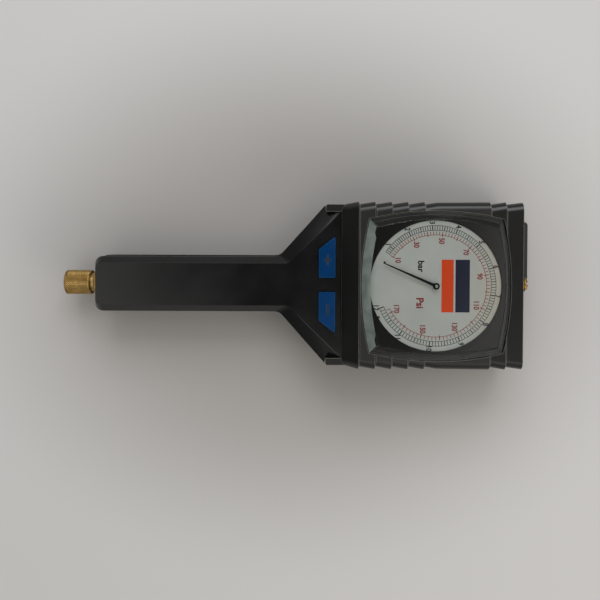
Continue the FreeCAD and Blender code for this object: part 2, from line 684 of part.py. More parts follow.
PILLARS = [("-6.8", "5.2"), ("6.8", "5.2"), ("-6.8", "-20"), ("6.8", "-20")]


def movement():
    """Two plates on four pillars, which hold the pinion and the sector between them."""
    centre = "-gear_module * (pinion_teeth + sector_gear_teeth) / 2"
    for name, level, left in (("movement_rear_plate", "plate_low", "-33.5"),
                              ("movement_front_plate", "plate_high", "-11")):
        body = new_body(name)
        pad(body, plate_outline(body, name + "_line", level, left), "plate_thick")
        holes = [("0", "0", "0.85"), ("0", centre, "0.65")] + [(x, y, "0.8") for x, y in PILLARS]
        if name == "movement_rear_plate":
            holes += [("-31.4", "-4", "0.8"), ("-31.4", "5.6", "0.8")]
        pocket(body, circles(body, name + "_holes", "XY_Plane", f"{level} - 1", holes), "4")
        node(name, body)
    pillars, screws = [], []
    for number, (x, y) in enumerate(PILLARS, 1):
        post = cylinder(f"pillar_post_{number}", "1.4", "plate_high - plate_low - plate_thick - 0.02",
                        x, y, "plate_low + plate_thick + 0.01")
        bore = cylinder(f"pillar_bore_{number}", "0.75", "3", x, y, "plate_high - 2.5")
        pillars.append(without(f"pillar_{number}", post, [bore]))
        head = cylinder(f"pillar_screw_head_{number}", "1.3", "0.9", x, y,
                        "plate_high + plate_thick + 0.01")
        shank = cylinder(f"pillar_screw_shank_{number}", "0.7", "3.4", x, y,
                         "plate_high + plate_thick - 3.39")
        screws.append(joined(f"pillar_screw_{number}", [head, shank]))
    for number, (x, y) in enumerate((("-31.4", "-4"), ("-31.4", "5.6")), 1):
        head = cylinder(f"socket_screw_head_{number}", "1.3", "0.9", x, y,
                        "plate_low + plate_thick + 0.01")
        screws.append(joined(f"socket_screw_{number}", [head, cylinder(
            f"socket_screw_shank_{number}", "0.7", "1", x, y, "plate_low + plate_thick - 0.99")]))
    node("movement_pillars", grouped("pillars_group", pillars))
    node("movement_screws", grouped("movement_screws_group", screws))


def pinion():
    """Arbor with a 15-tooth pinion, which carries the pointer."""
    body = new_body("pinion")
    root = "gear_module * pinion_teeth / 2 - 0.36"
    tip = "gear_module * pinion_teeth / 2 + 0.22"
    pad(body, circles(body, "pinion_core", "XY_Plane", "sector_low - 0.4", [("0", "0", root)]),
        "sector_thick + 0.8")
    pad(body, circles(body, "arbor_low", "XY_Plane", "plate_low + 0.1", [("0", "0", "0.8")]),
        "sector_low - 0.2 - plate_low - 0.1")
    pad(body, circles(body, "arbor_high", "XY_Plane", "sector_low + sector_thick",
                      [("0", "0", "0.8")]), "dial_top + 3 - sector_low - sector_thick")
    pitch = "gear_module * pinion_teeth / 2"
    tooth = outline(body, "pinion_tooth", "XY_Plane", "sector_low - 0.4", [
        ("-0.24", f"{root} - 0.25"), ("0.24", f"{root} - 0.25"), ("0.22", f"{pitch} - 0.16"),
        ("0.17", pitch), ("0.07", tip), ("-0.07", tip), ("-0.17", pitch),
        ("-0.22", f"{pitch} - 0.16")])
    first = pad(body, tooth, "sector_thick + 0.8")
    doc.recompute()
    ring_of_teeth = body.newObject("PartDesign::PolarPattern", "pinion_teeth_ring")
    ring_of_teeth.Originals = [first]
    ring_of_teeth.Axis = (tooth, ["N_Axis"])
    ring_of_teeth.Angle = 360
    bind(ring_of_teeth, "Occurrences", "pinion_teeth")
    body.Tip = ring_of_teeth
    body.Placement = FreeCAD.Placement(V(), FreeCAD.Rotation(Z_AXIS, 315 / 2))
    node("pinion", body)


def gears():
    """The sector is drawn about its own pivot, pointing at the pinion in mid-travel."""
    reach = value("gear_module * sector_gear_teeth / 2")
    pivot = V(0, -value("gear_module * (pinion_teeth + sector_gear_teeth) / 2"), 0)
    step = 360 / value("sector_gear_teeth")
    teeth = 19
    root = reach - 0.36
    points = []
    for tooth in range(teeth):
        angle = 90 + (tooth - (teeth - 1) / 2) * step
        for offset, radius in ((-0.4, root), (-0.165 / reach * 57.3, reach),
                               (-0.07 / reach * 57.3, reach + 0.22),
                               (0.07 / reach * 57.3, reach + 0.22),
                               (0.165 / reach * 57.3, reach), (0.4, root)):
            turn = offset if abs(offset) != 0.4 else math.copysign(0.27 / reach * 57.3, offset)
            points.append(polar(radius, angle + turn))
    edge = [p for p in points]
    low, high = edge[0], edge[-1]
    inner_low = polar(reach - 2.6, 90 - teeth * step / 2)
    inner_high = polar(reach - 2.6, 90 + teeth * step / 2)
    left_arm, right_arm = polar(reach - 2.6, 97), polar(reach - 2.6, 83)
    inner_arc = [inner_high, left_arm, V(-1.6, 1.5, 0), V(1.6, 1.5, 0), right_arm, inner_low]
    corners = edge + inner_arc + [low]
    blank = Part.Face(Part.makePolygon(corners)).extrude(V(0, 0, value("sector_thick")))
    hub = Part.makeCylinder(2.2, value("sector_thick"))
    off = 0.45 + math.radians(315 / 16) - math.radians(315 / 16)
    tail_angle = -90 + math.degrees(off)
    tail_end = polar(value("tail_length"), tail_angle)
    tail = Part.makeBox(value("tail_length"), 2, value("sector_thick"), V(0, -1, 0))
    tail.rotate(V(), Z_AXIS, tail_angle)
    tail_eye = Part.makeCylinder(1.1, value("sector_thick"), tail_end)
    low_pin = value("sector_low - tube_high - 3.2")
    tail_pin = Part.makeCylinder(0.5, low_pin + 0.2, tail_end - V(0, 0, low_pin))
    arbor_low = value("plate_low + 0.1 - sector_low")
    arbor = Part.makeCylinder(0.6, value("plate_high + plate_thick - 0.1 - plate_low - 0.1"),
                              V(0, 0, arbor_low))
    whole = blank.fuse([hub, tail, tail_eye, tail_pin]).cut(arbor).removeSplitter()
    for name, shape in (("sector_gear", whole), ("sector_arbor", arbor)):
        item = doc.addObject("Part::Feature", name)
        item.Shape = shape
        item.Placement = FreeCAD.Placement(pivot + V(0, 0, value("sector_low")),
                                           FreeCAD.Rotation(Z_AXIS, -315 / 16))
        node(name, item)


def hairspring():
    """Flat spiral from the pinion's collet to a post on the front plate."""
    turns, start, gap, strip = 3.5, 1.6, 0.75, 0.12
    level = value("sector_low + sector_thick + 0.9")
    outer, inner = [], []
    for step in range(int(turns * 14) + 1):
        angle = step * 360 / 14
        radius = start + gap * angle / 360
        outer.append(polar(radius + strip / 2, angle))
        inner.append(polar(radius - strip / 2, angle))
    loop = outer + inner[::-1] + [outer[0]]
    item = doc.addObject("Part::Feature", "hairspring_strip")
    item.Shape = Part.Face(Part.makePolygon(loop)).extrude(V(0, 0, 0.8))
    item.Placement.Base = V(0, 0, level)
    node("hairspring", item)


def pointer():
    body = new_body("pointer")
    blade = outline(body, "pointer_blade", "XY_Plane", "dial_top + 2", [
        ("0", "-0.95"), ("pointer_reach", "-0.3"), ("pointer_reach", "0.3"), ("0", "0.95")])
    pad(body, blade, "0.5")
    hub = circles(body, "pointer_hub", "XY_Plane", "dial_top + 1.7", [("0", "0", "2.05")])
    pad(body, hub, "1.1")
    pocket(body, circles(body, "pointer_bore", "XY_Plane", "dial_top", [("0", "0", "0.8")]), "6")
    place(body)
    body.Placement = FreeCAD.Placement(V(), FreeCAD.Rotation(Z_AXIS, 156.4))
    node("pointer", body)


# Valve block, stems and buttons

def valve_block():
    body = new_body("valve_block")
    corners = mirrored_corners([("block_left", "block_half - 4"),
                                ("block_left + 5", "block_half", "3"),
                                ("block_right", "block_half", "3")])
    pad(body, outline(body, "block_line", "XY_Plane", "block_low", corners),
        "block_high - block_low")
    wells = [("stem_x", sign + "stem_y", "stem_radius + fit_gap") for sign in ("", "-")]
    pocket(body, circles(body, "stem_wells", "XY_Plane", "block_low + 3", wells), "30")
    seats = [("stem_x", sign + "stem_y", "4.2") for sign in ("", "-")]
    pocket(body, circles(body, "spring_seats", "XY_Plane", "block_high - 1", seats), "30")
    glands = [("stem_x", sign + "stem_y", "3.6") for sign in ("", "-")]
    pocket(body, circles(body, "gland_seats", "XY_Plane", "block_high - 3.2", glands), "30")
    pocket(body, circles(body, "air_in", "YZ_Plane", "block_left - 1",
                         [("0", "air_level", "pipe_radius")]), "9")
    pocket(body, circles(body, "air_cross", "XZ_Plane", "0",
                         [("stem_x", "air_level - 4", "1.2")]), "40", symmetric=True)
    pocket(body, circles(body, "air_link", "YZ_Plane", "block_left + 6",
                         [("0", "air_level - 2", "1.4")]), "12")
    pocket(body, circles(body, "gauge_port", "YZ_Plane", "block_right - 7",
                         [("0", "air_level + 1", "3.6")]), "9")
    pocket(body, circles(body, "air_out", "YZ_Plane", "block_right - 8",
                         [("0", "outlet_pipe_level", "2.5")]), "9")
    holes = [("block_left + 6", sign + "9", "1.6") for sign in ("", "-")]
    pocket(body, circles(body, "block_screw_holes", "XY_Plane", "block_low - 1", holes), "30")
    soften(body, "block_bevels", "0.8", lambda p, d, e: p.z > value("block_high") - 0.01
           and (abs(p.y) > value("block_half") - 5 or p.x < value("block_left") + 0.1
                or p.x > value("block_right") - 0.1), "Chamfer")
    node("valve_block", body)


def block_screws():
    screws = []
    for sign, name in (("", "upper"), ("-", "lower")):
        x, y = "block_left + 6", sign + "9"
        head = cylinder(f"block_screw_head_{name}", "2.6", "2.2", x, y, "block_high + 0.01")
        shank = cylinder(f"block_screw_shank_{name}", "1.45", "23.2", x, y, "block_high - 23.19")
        drive = cylinder(f"block_screw_drive_{name}", "1.3", "2", x, y, "block_high + 1.1")
        whole = joined(f"block_screw_whole_{name}", [head, shank])
        screws.append(without(f"block_screw_{name}", whole, [drive]))
    node("block_screws", grouped("block_screws_pair", screws))


def button_corners(sign, grow):
    """Button outline: square at the inner end, cut back along the flare at the outer end."""
    return [("button_left - " + grow, f"{sign} * (button_inner - {grow})"),
            ("button_right + " + grow, f"{sign} * (button_inner - {grow})"),
            ("button_right + " + grow, f"{sign} * (button_outer + {grow})"),
            ("button_left - " + grow, f"{sign} * (button_corner + {grow})")]


def button(name, sign):
    body = new_body(name)
    flange = button_corners(sign, "(-1.2)")
    flange = [(c[0].replace("(-1.2)", "(1.2)"), c[1].replace("(-1.2)", "(1.2)"))
              for c in flange]
    pad(body, outline(body, name + "_flange", "XY_Plane", "rim", flange), "1.3")
    body_line = outline(body, name + "_line", "XY_Plane", "rim", button_corners(sign, "0"))
    pad(body, body_line, "button_top - 0.8 - rim")
    loft(body, "AdditiveLoft", name + "_crown", [
        outline(body, name + "_crown_foot", "XY_Plane", "button_top - 0.8",
                button_corners(sign, "0")),
        outline(body, name + "_crown_top", "XY_Plane", "button_top",
                button_corners(sign, "(-0.8)"))])
    pocket(body, circles(body, name + "_socket", "XY_Plane", "rim",
                         [("stem_x", sign + " * stem_y", "stem_radius - 0.5")]), "2.5")
    node(name, body)


def stem(name, y):
    turned(name, [
        ("0", "10.8"), ("stem_radius", "10.8"), ("stem_radius", "12.4"), ("1.2", "12.8"),
        ("1.2", "15.8"), ("stem_radius", "16.2"), ("stem_radius", "rim - 0.02"),
        ("stem_radius - 0.52", "rim - 0.02"), ("stem_radius - 0.52", "rim + 2"),
        ("0", "rim + 2")], x="stem_x", y=y)


def coil(name, radius, wire, height, turns, **where):
    """A compression spring: a five-sided wire that climbs a helix in short straight steps."""
    per_turn, sides = 10, 5
    sections = []
    for step in range(turns * per_turn + 1):
        around = 360 * step / per_turn
        level = V(0, 0, height * step / (turns * per_turn))
        section = []
        for side in range(sides):
            tilt = math.radians(360 * side / sides)
            reach = radius + wire * math.cos(tilt)
            section.append(polar(reach, around) + level + V(0, 0, wire * math.sin(tilt)))
        sections.append(section)
    faces = [triangle_fan(sections[0][::-1]), triangle_fan(sections[-1])]
    faces = faces[0] + faces[1]
    for low, high in zip(sections, sections[1:]):
        for side in range(sides):
            after = (side + 1) % sides
            faces += triangle_fan([low[side], low[after], high[side]])
            faces += triangle_fan([low[after], high[after], high[side]])
    item = doc.addObject("Part::Feature", name + "_wire")
    solid = Part.makeSolid(Part.makeShell(faces))
    item.Shape = solid if solid.Volume > 0 else solid.reversed()
    rotation = where.pop("rotation", None)
    place(item, rotation=rotation, **where)
    return node(name, item)


def triangle_fan(points):
    """Flat triangles that fill a convex ring of points."""
    return [Part.Face(Part.makePolygon([points[0], points[i], points[i + 1], points[0]]))
            for i in range(1, len(points) - 1)]


def valves():
    block_screws()
    for name, sign in (("inflate", "1"), ("deflate", "-1")):
        y = sign + " * stem_y"
        button(name + "_button", sign)
        stem(name + "_stem", y)
        coil(name + "_spring", 3.1, 0.35, value("rim - block_high + 0.2"), 4,
             x="stem_x", y=y, z="block_high - 0.6")
    seals = [ring(f"stem_seal_{name}", "2.8", "0.75", "stem_x", y, "block_high - 2.3")
             for name, y in (("upper", "stem_y"), ("lower", "-stem_y"))]
    node("stem_seals", grouped("stem_seals_pair", seals))
    node("gauge_seal", ring("gauge_seal_ring", "2.6", "0.6", "block_right - 6.3", "0",
                            "air_level + 1", ALONG_X))


# Air pipes and outlet

def pipes():
    left = "handle_end + 14"
    for name, x, length, level, radius, bore in (
            ("inlet_pipe", left, f"block_left + 7.9 - ({left})", "air_level", "pipe_radius - 0.02",
             "pipe_bore"),
            ("outlet_pipe", "block_right - 7.9", "45 - 3 - block_right + 7.9 - 4.4",
             "outlet_pipe_level", "2.48", "1.5")):
        outer = cylinder(name + "_outer", radius, length, x, "0", level, ALONG_X)
        inner = cylinder(name + "_inner", bore, f"{length} + 2", f"{x} - 1", "0", level, ALONG_X)
        node(name, without(name + "_whole", outer, [inner]))


def outlet_elbow():
    block = box("elbow_block", "37.6", "head_half - wall - 0.05", "-5", "5", "6.6", "30")
    drops = [cylinder("elbow_drop", "1.6", "16", "41.3", "0", "outlet_pipe_level"),
             cylinder("elbow_in", "1.6", "5", "37", "0", "outlet_pipe_level", ALONG_X),
             cylinder("elbow_out", "3.4", "6", "40.8", "0", "outlet_level", ALONG_X)]
    node("outlet_elbow", without("elbow_whole", block, drops))
    turned("outlet_stub", [
        ("1.8", "0"), ("3.38", "0"), ("3.38", "4.05"), ("4.4", "4.05"), ("4.4", "7.6"),
        ("outlet_radius", "7.6"), ("outlet_radius", "outlet_end - 41 - 0.8"),
        ("outlet_radius - 0.8", "outlet_end - 41"), ("2.6", "outlet_end - 41"),
        ("1.8", "outlet_end - 41 - 0.8")], x="41", z="outlet_level", rotation=ALONG_X)


# Air-line coupling at the handle's end

def coupling():
    """Quick coupling: a spring-loaded sleeve that locks balls on the plug. Drawn along -X."""
    axis = {"z": "air_level", "rotation": ALONG_MINUS_X}
    neck = turned("coupling_neck", [
        ("2", "-14"), ("5", "-14"), ("5", "-3.2"), ("8.6", "-3.2"), ("8.6", "-2.6"),
        ("neck_radius", "-2.6"), ("neck_radius", "3.6"), ("4.4", "3.6"), ("4.4", "8.4"),
        ("2", "8.4")], x="handle_end", **axis)
    pad(neck, outline(neck, "neck_hexagon", "XY_Plane", "0.4",
                      [(f"hexagon_corner * {math.cos(math.radians(a)):.6f}",
                        f"hexagon_corner * {math.sin(math.radians(a)):.6f}")
                       for a in range(30, 390, 60)]), "2.5")
    body = turned("coupler_body", [
        ("socket_radius", "22.2"), ("socket_radius", "22.2 - socket_depth"),
        ("4.1", "22.2 - socket_depth"), ("4.1", "10.2"), ("2", "10.2"), ("2", "8.5"),
        ("4.45", "8.5"), ("4.45", "3.65"), ("6.2", "3.65"), ("6.2", "6"), ("5.4", "6"),
        ("5.4", "21.4"), ("4.9", "22.2")], x="handle_end", **axis)
    pockets = sketch_on(body, "ball_pockets", "XZ_Plane", "-7")
    draw_circle(pockets, "0", "17.6", "0.82")
    first = body.newObject("PartDesign::Pocket", "ball_pocket")
    first.Profile = pockets
    first.Reversed = True
    first.Length = 3.2
    doc.recompute()
    ring_of_holes = body.newObject("PartDesign::PolarPattern", "ball_pocket_ring")
    ring_of_holes.Originals = [first]
    ring_of_holes.Axis = (body.Group[0], ["V_Axis"])
    ring_of_holes.Angle = 360
    ring_of_holes.Occurrences = 6
    body.Tip = ring_of_holes
    turned("coupler_sleeve", [
        ("5.5", "22.1"), ("5.5", "9.2"), ("6.7", "9.2"), ("6.7", "5.6"),
        ("sleeve_radius - 0.5", "5.6"), ("sleeve_radius", "6.4"), ("sleeve_radius", "21.3"),
        ("sleeve_radius - 0.6", "22.1")], x="handle_end", **axis)
    coil("coupler_spring", 6.05, 0.25, 2.6, 3, x="handle_end - 6.3", z="air_level",
         rotation=ALONG_MINUS_X)
    balls = []
    for number in range(6):
        ball = doc.addObject("Part::Sphere", f"ball_{number}")
        ball.Radius = 0.75
        angle = math.radians(60 * number)
        place(ball, "handle_end - 17.6", str(4.65 * math.cos(angle)),
              f"air_level + {4.65 * math.sin(angle)}")
        balls.append(ball)
    node("coupler_balls", grouped("balls_ring", balls))
    node("coupler_seal", ring("coupler_seal_ring", "3.45", "0.6", "handle_end - 10.85", "0",
                              "air_level", ALONG_X))


# Hanging hook

def hook():
    """Folding hook that lies along the head's end, on a pin between two lugs."""
    body = new_body("hanging_hook")
    line = outline(body, "hook_line", "XY_Plane", "hook_low", [
        ("hook_x - 4.4", "-4.4", "4.3"), ("hook_x + 5", "-4.4", "4.3"),
        ("hook_x + hook_outer", "2.5", "3"), ("hook_x + hook_outer", "hook_tip_y", "2.5"),
        ("hook_x - 4.3", "hook_tip_y", "2.5"), ("hook_x - 4.3", "hook_tip_y - 9", "1.4"),
        ("hook_x - 1.2", "hook_tip_y - 9", "1.4"),
        ("hook_x - 1.2", "hook_tip_y - 5", "2"), ("hook_x + 5.4", "hook_tip_y - 5", "4"),
        ("hook_x + 5.4", "17", "3"), ("hook_x - 4.3", "8", "6")])
    pad(body, line, "hook_high - hook_low")
    pocket(body, circles(body, "hook_eye", "XY_Plane", "0",
                         [("hook_x", "0", "hook_pin_radius + 0.05")]), "20")
    node("hanging_hook", body)
    pin = cylinder("pin_shank", "hook_pin_radius", "11.4", "hook_x", "0", "3")
    head = cylinder("pin_head", "2.6", "0.8", "hook_x", "0", "14.25")
    node("hook_pin", joined("hook_pin_whole", [pin, head]))


def main():
    front_housing()
    rear_housing()
    housing_screws()
    rubber_boot()
    lens()
    lens_gasket()
    bezel_plate()
    dial_plate()
    gauge_case()
    bourdon_socket()
    bourdon_tube()
    tube_tip()
    link()
    movement()
    pinion()
    gears()
    hairspring()
    pointer()
    valve_block()
    valves()
    pipes()
    outlet_elbow()
    coupling()
    hook()
    doc.recompute()
    for item in doc.Objects:
        if "Invalid" in item.State or "Error" in item.State:
            raise RuntimeError(f"{item.Name} is {item.State}")
    os.makedirs("parts", exist_ok=True)
    for item in NODES:
        shape = item.Shape
        if shape.isNull() or not shape.isValid():
            raise RuntimeError(f"{item.Label} has no valid shape")
        shape.exportStep(f"parts/{item.Label}.step")
        bounds = shape.BoundBox
        print(f"{item.Label}: {len(shape.Solids)} solids, {shape.Volume:.1f} mm3, "
              f"x {bounds.XMin:.1f} {bounds.XMax:.1f} y {bounds.YMin:.1f} {bounds.YMax:.1f} "
              f"z {bounds.ZMin:.1f} {bounds.ZMax:.1f}")


main()
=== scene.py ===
import json
import math

import bpy
from mathutils import Matrix, Vector

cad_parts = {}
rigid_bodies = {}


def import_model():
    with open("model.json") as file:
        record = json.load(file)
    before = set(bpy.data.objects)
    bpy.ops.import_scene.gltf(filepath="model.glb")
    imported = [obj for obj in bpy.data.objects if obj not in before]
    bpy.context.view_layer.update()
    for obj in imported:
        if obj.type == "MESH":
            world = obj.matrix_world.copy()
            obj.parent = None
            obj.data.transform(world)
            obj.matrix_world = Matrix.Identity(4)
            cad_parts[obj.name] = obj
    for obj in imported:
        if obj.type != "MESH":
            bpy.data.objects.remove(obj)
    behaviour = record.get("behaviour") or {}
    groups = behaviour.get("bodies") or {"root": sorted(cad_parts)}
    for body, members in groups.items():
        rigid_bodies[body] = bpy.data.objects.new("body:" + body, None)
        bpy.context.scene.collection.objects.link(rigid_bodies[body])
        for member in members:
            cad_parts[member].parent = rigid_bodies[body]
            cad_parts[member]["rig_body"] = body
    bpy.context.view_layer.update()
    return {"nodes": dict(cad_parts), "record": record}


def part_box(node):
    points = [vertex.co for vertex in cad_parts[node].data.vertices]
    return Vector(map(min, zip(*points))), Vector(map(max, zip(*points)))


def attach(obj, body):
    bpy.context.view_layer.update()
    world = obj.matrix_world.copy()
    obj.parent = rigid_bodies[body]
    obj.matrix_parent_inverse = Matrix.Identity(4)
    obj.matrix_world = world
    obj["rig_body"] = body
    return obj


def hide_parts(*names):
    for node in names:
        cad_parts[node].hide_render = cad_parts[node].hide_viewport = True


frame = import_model()

bl_info = {
    "name": "Tyre Pressure Gauge",
    "version": (1, 0, 0),
    "blender": (4, 5, 0),
    "location": "View3D > Sidebar > Gauge",
    "description": "Dresses the moulded, rubber, brass and printed pieces of a hand-held tyre gauge",
    "category": "Object",
}

MM = 0.001


# Working with pieces


def deselect():
    bpy.ops.object.select_all(action="DESELECT")


def only(*pieces):
    """Selects these pieces alone and makes the first one active."""
    deselect()
    for piece in pieces:
        piece.select_set(True)
    bpy.context.view_layer.objects.active = pieces[0]


def newest(name):
    """The object that the last operator added, under its own name."""
    piece = bpy.context.object
    piece.name = name
    piece.data.name = name
    return piece


def edit(piece, everything=True):
    only(piece)
    bpy.ops.object.mode_set(mode="EDIT")
    bpy.ops.mesh.select_mode(type="VERT")
    bpy.ops.mesh.select_all(action="SELECT" if everything else "DESELECT")


def done():
    bpy.ops.object.mode_set(mode="OBJECT")


def pick(piece, kind, wanted):
    """Selects in edit mode the faces, edges or vertices that the test wants."""
    bpy.ops.object.mode_set(mode="OBJECT")
    data = piece.data
    for items in (data.vertices, data.edges, data.polygons):
        items.foreach_set("select", [False] * len(items))
    items = {"FACE": data.polygons, "EDGE": data.edges, "VERT": data.vertices}[kind]
    found = 0
    for item in items:
        item.select = bool(wanted(item))
        found += item.select
    bpy.ops.object.mode_set(mode="EDIT")
    bpy.ops.mesh.select_mode(type=kind)
    if not found:
        raise RuntimeError(f"{piece.name}: nothing was picked")
    return found


def settle(piece):
    """Puts the piece's place into its mesh, so that its object sits at the origin."""
    only(piece)
    bpy.ops.object.transform_apply(location=True, rotation=True, scale=True)


def modify(piece, kind, **settings):
    """Adds one modifier and applies it."""
    only(piece)
    modifier = piece.modifiers.new(kind.lower(), kind)
    for key, setting in settings.items():
        setattr(modifier, key, setting)
    bpy.ops.object.modifier_apply(modifier=modifier.name)


def smooth(piece, degrees=32):
    only(piece)
    bpy.ops.object.shade_smooth_by_angle(angle=math.radians(degrees), keep_sharp_edges=False)


def outward(piece):
    edit(piece)
    bpy.ops.mesh.remove_doubles(threshold=0.000002)
    bpy.ops.mesh.normals_make_consistent(inside=False)
    done()


def merged(pieces, name):
    only(*pieces)
    if len(pieces) > 1:
        bpy.ops.object.join()
    return newest(name)


def remade(node, name, edge=0.0, segments=2, sharp=28, flat=1.2):
    """A copy of a solid with its triangles merged into faces and its edges softly broken."""
    source = frame["nodes"][node]
    piece = bpy.data.objects.new(name, source.data.copy())
    bpy.context.scene.collection.objects.link(piece)
    piece.data.name = name
    piece.data.materials.clear()
    edit(piece)
    bpy.ops.mesh.customdata_custom_splitnormals_clear()
    bpy.ops.mesh.remove_doubles(threshold=0.000004)
    bpy.ops.mesh.dissolve_limited(angle_limit=math.radians(flat), use_dissolve_boundaries=False)
    done()
    if edge:
        modify(piece, "BEVEL", width=edge * MM, segments=segments, limit_method="ANGLE",
               angle_limit=math.radians(sharp), use_clamp_overlap=True, miter_outer="MITER_ARC")
    smooth(piece, sharp + 6)
    modify(piece, "WEIGHTED_NORMAL", keep_sharp=True)
    return piece


def grow(piece, steps, axis, centre):
    """Extrudes the selected open ring through (radius, height) steps along an axis of the piece."""
    data = piece.data
    across = [i for i in range(3) if i != axis]
    for radius, height in steps:
        bpy.ops.mesh.extrude_region_move()
        bpy.ops.object.mode_set(mode="OBJECT")
        ring = [v for v in data.vertices if v.select]
        now = sum(math.hypot(*(v.co[i] - centre[i] for i in across)) for v in ring) / len(ring)
        level = sum(v.co[axis] for v in ring) / len(ring)
        bpy.ops.object.mode_set(mode="EDIT")
        scale = [radius * MM / now] * 3
        scale[axis] = 1
        pivot = list(centre)
        pivot[axis] = level
        bpy.ops.transform.resize(value=scale, center_override=pivot)
        move = [0, 0, 0]
        move[axis] = height * MM - level
        bpy.ops.transform.translate(value=move)


def turned_piece(name, profile, sides, axis=2, centre=(0, 0, 0)):
    """A closed turned shape from (radius, height) points in millimetres, first and last on its faces."""
    radius, height = profile[0]
    place = list(centre)
    place[axis] = height * MM
    turn = (0, math.pi / 2, 0) if axis == 0 else (0, 0, 0)
    bpy.ops.mesh.primitive_circle_add(vertices=sides, radius=radius * MM, fill_type="NOTHING",
                                      location=place, rotation=turn)
    piece = newest(name)
    settle(piece)
    edit(piece)
    grow(piece, profile[1:], axis, centre)
    bpy.ops.mesh.select_all(action="SELECT")
    bpy.ops.mesh.fill_holes(sides=0)
    done()
    outward(piece)
    smooth(piece, 34)
    return piece


def finish_piece(piece, material, body, nodes=()):
    """Gives the piece its finish and says what it rides on and stands for."""
    piece.data.materials.clear()
    piece.data.materials.append(material)
    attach(piece, body)
    if nodes:
        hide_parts(*nodes)
    return piece


def body_of_node(node):
    return frame["nodes"][node]["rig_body"]


# Materials


def linear(code):
    """An sRGB hex colour as the linear colour that shaders take."""
    parts = [int(code[i:i + 2], 16) / 255 for i in (1, 3, 5)]
    return tuple(p / 12.92 if p <= 0.04045 else ((p + 0.055) / 1.055) ** 2.4 for p in parts) + (1,)


def add(tree, kind, inputs=None, **settings):
    """Adds a node, sets its settings, and sets or links its inputs."""
    item = tree.nodes.new(kind)
    for key, setting in settings.items():
        setattr(item, key, setting)
    for key, given in (inputs or {}).items():
        socket = item.inputs[key]
        if isinstance(given, bpy.types.NodeSocket):
            tree.links.new(given, socket)
        else:
            socket.default_value = given
    return item


def start(name):
    """A new material with its tree, its output and the coordinates of the piece in metres."""
    material = bpy.data.materials.new(name)
    material.use_nodes = True
    tree = material.node_tree
    tree.nodes.clear()
    place = add(tree, "ShaderNodeTexCoord").outputs["Object"]
    return material, tree, place


def close(tree, shader):
    add(tree, "ShaderNodeOutputMaterial", {"Surface": shader.outputs[0]})


def stops(ramp, *points):
    """Sets a colour ramp to these (place, colour) points."""
    elements = ramp.color_ramp.elements
    while len(elements) > 1:
        elements.remove(elements[-1])
    elements[0].position, elements[0].color = points[0]
    for position, tint in points[1:]:
        elements.new(position).color = tint
    return ramp.outputs[0]


def grey(level):
    return (level, level, level, 1)


def worn_edges(tree, reach, strength=1.0):
    """Painted highlight: white along the outer and inner edges of a piece, up to some millimetres from them."""
    rounded = add(tree, "ShaderNodeBevel", {"Radius": reach * MM}, samples=6)
    true = add(tree, "ShaderNodeNewGeometry").outputs["Normal"]
    turned = add(tree, "ShaderNodeVectorMath", {0: rounded.outputs[0], 1: true},
                 operation="DOT_PRODUCT")
    return stops(add(tree, "ShaderNodeValToRGB", {"Fac": turned.outputs["Value"]}),
                 (0.86, grey(strength)), (0.985, grey(0)))


def moulded_abs(name, base, edge_highlight_colour, grain=0.45, depth=0.05, rough=(0.46, 0.62),
                shine=0.5):
    """ABS from a spark-eroded mould: a fine matt grain, with a patchy painted highlight along its edges."""
    material, tree, place = start(name)
    broad = add(tree, "ShaderNodeTexNoise", {"Vector": place, "Scale": 38, "Detail": 4,
                                             "Roughness": 0.6})
    fine = add(tree, "ShaderNodeTexNoise", {"Vector": place, "Scale": 1 / (grain * MM),
                                            "Detail": 3, "Roughness": 0.55})
    dust = add(tree, "ShaderNodeTexVoronoi", {"Vector": place, "Scale": 160, "Randomness": 1})
    speck = stops(add(tree, "ShaderNodeValToRGB", {"Fac": dust.outputs["Distance"]}),
                  (0.0, grey(1)), (0.045, grey(0)))
    edge_highlight = worn_edges(tree, 0.45)
    tone = stops(add(tree, "ShaderNodeValToRGB", {"Fac": broad.outputs[0]}),
                 (0.3, linear(base)), (0.72, tuple(c * 1.25 for c in linear(base)[:3]) + (1,)))
    # Painted highlight: the edges take the paler colour, patchy by the broad noise.
    edge_highlight_mask = add(tree, "ShaderNodeMath", {0: edge_highlight, 1: broad.outputs[0]}, operation="MULTIPLY")
    tint = add(tree, "ShaderNodeMix", {0: edge_highlight_mask.outputs[0]}, data_type="RGBA")
    tree.links.new(tone, tint.inputs[6])
    tint.inputs[7].default_value = linear(edge_highlight_colour)
    dusty = add(tree, "ShaderNodeMath", {0: speck, 1: 0.10}, operation="MULTIPLY")
    final = add(tree, "ShaderNodeMix", data_type="RGBA")
    tree.links.new(dusty.outputs[0], final.inputs[0])
    tree.links.new(tint.outputs[2], final.inputs[6])
    final.inputs[7].default_value = linear("#8a8a86")
    gloss = add(tree, "ShaderNodeMapRange", {"Value": broad.outputs[0], "From Min": 0.3,
                                             "From Max": 0.7, "To Min": rough[0],
                                             "To Max": rough[1]})
    bump = add(tree, "ShaderNodeBump", {"Height": fine.outputs[0], "Strength": 0.35,
                                        "Distance": depth * MM})
    shader = add(tree, "ShaderNodeBsdfPrincipled", {
        "Base Color": final.outputs[2], "Roughness": gloss.outputs[0],
        "Normal": bump.outputs[0], "IOR": 1.53, "Specular IOR Level": shine})
    close(tree, shader)
    return material


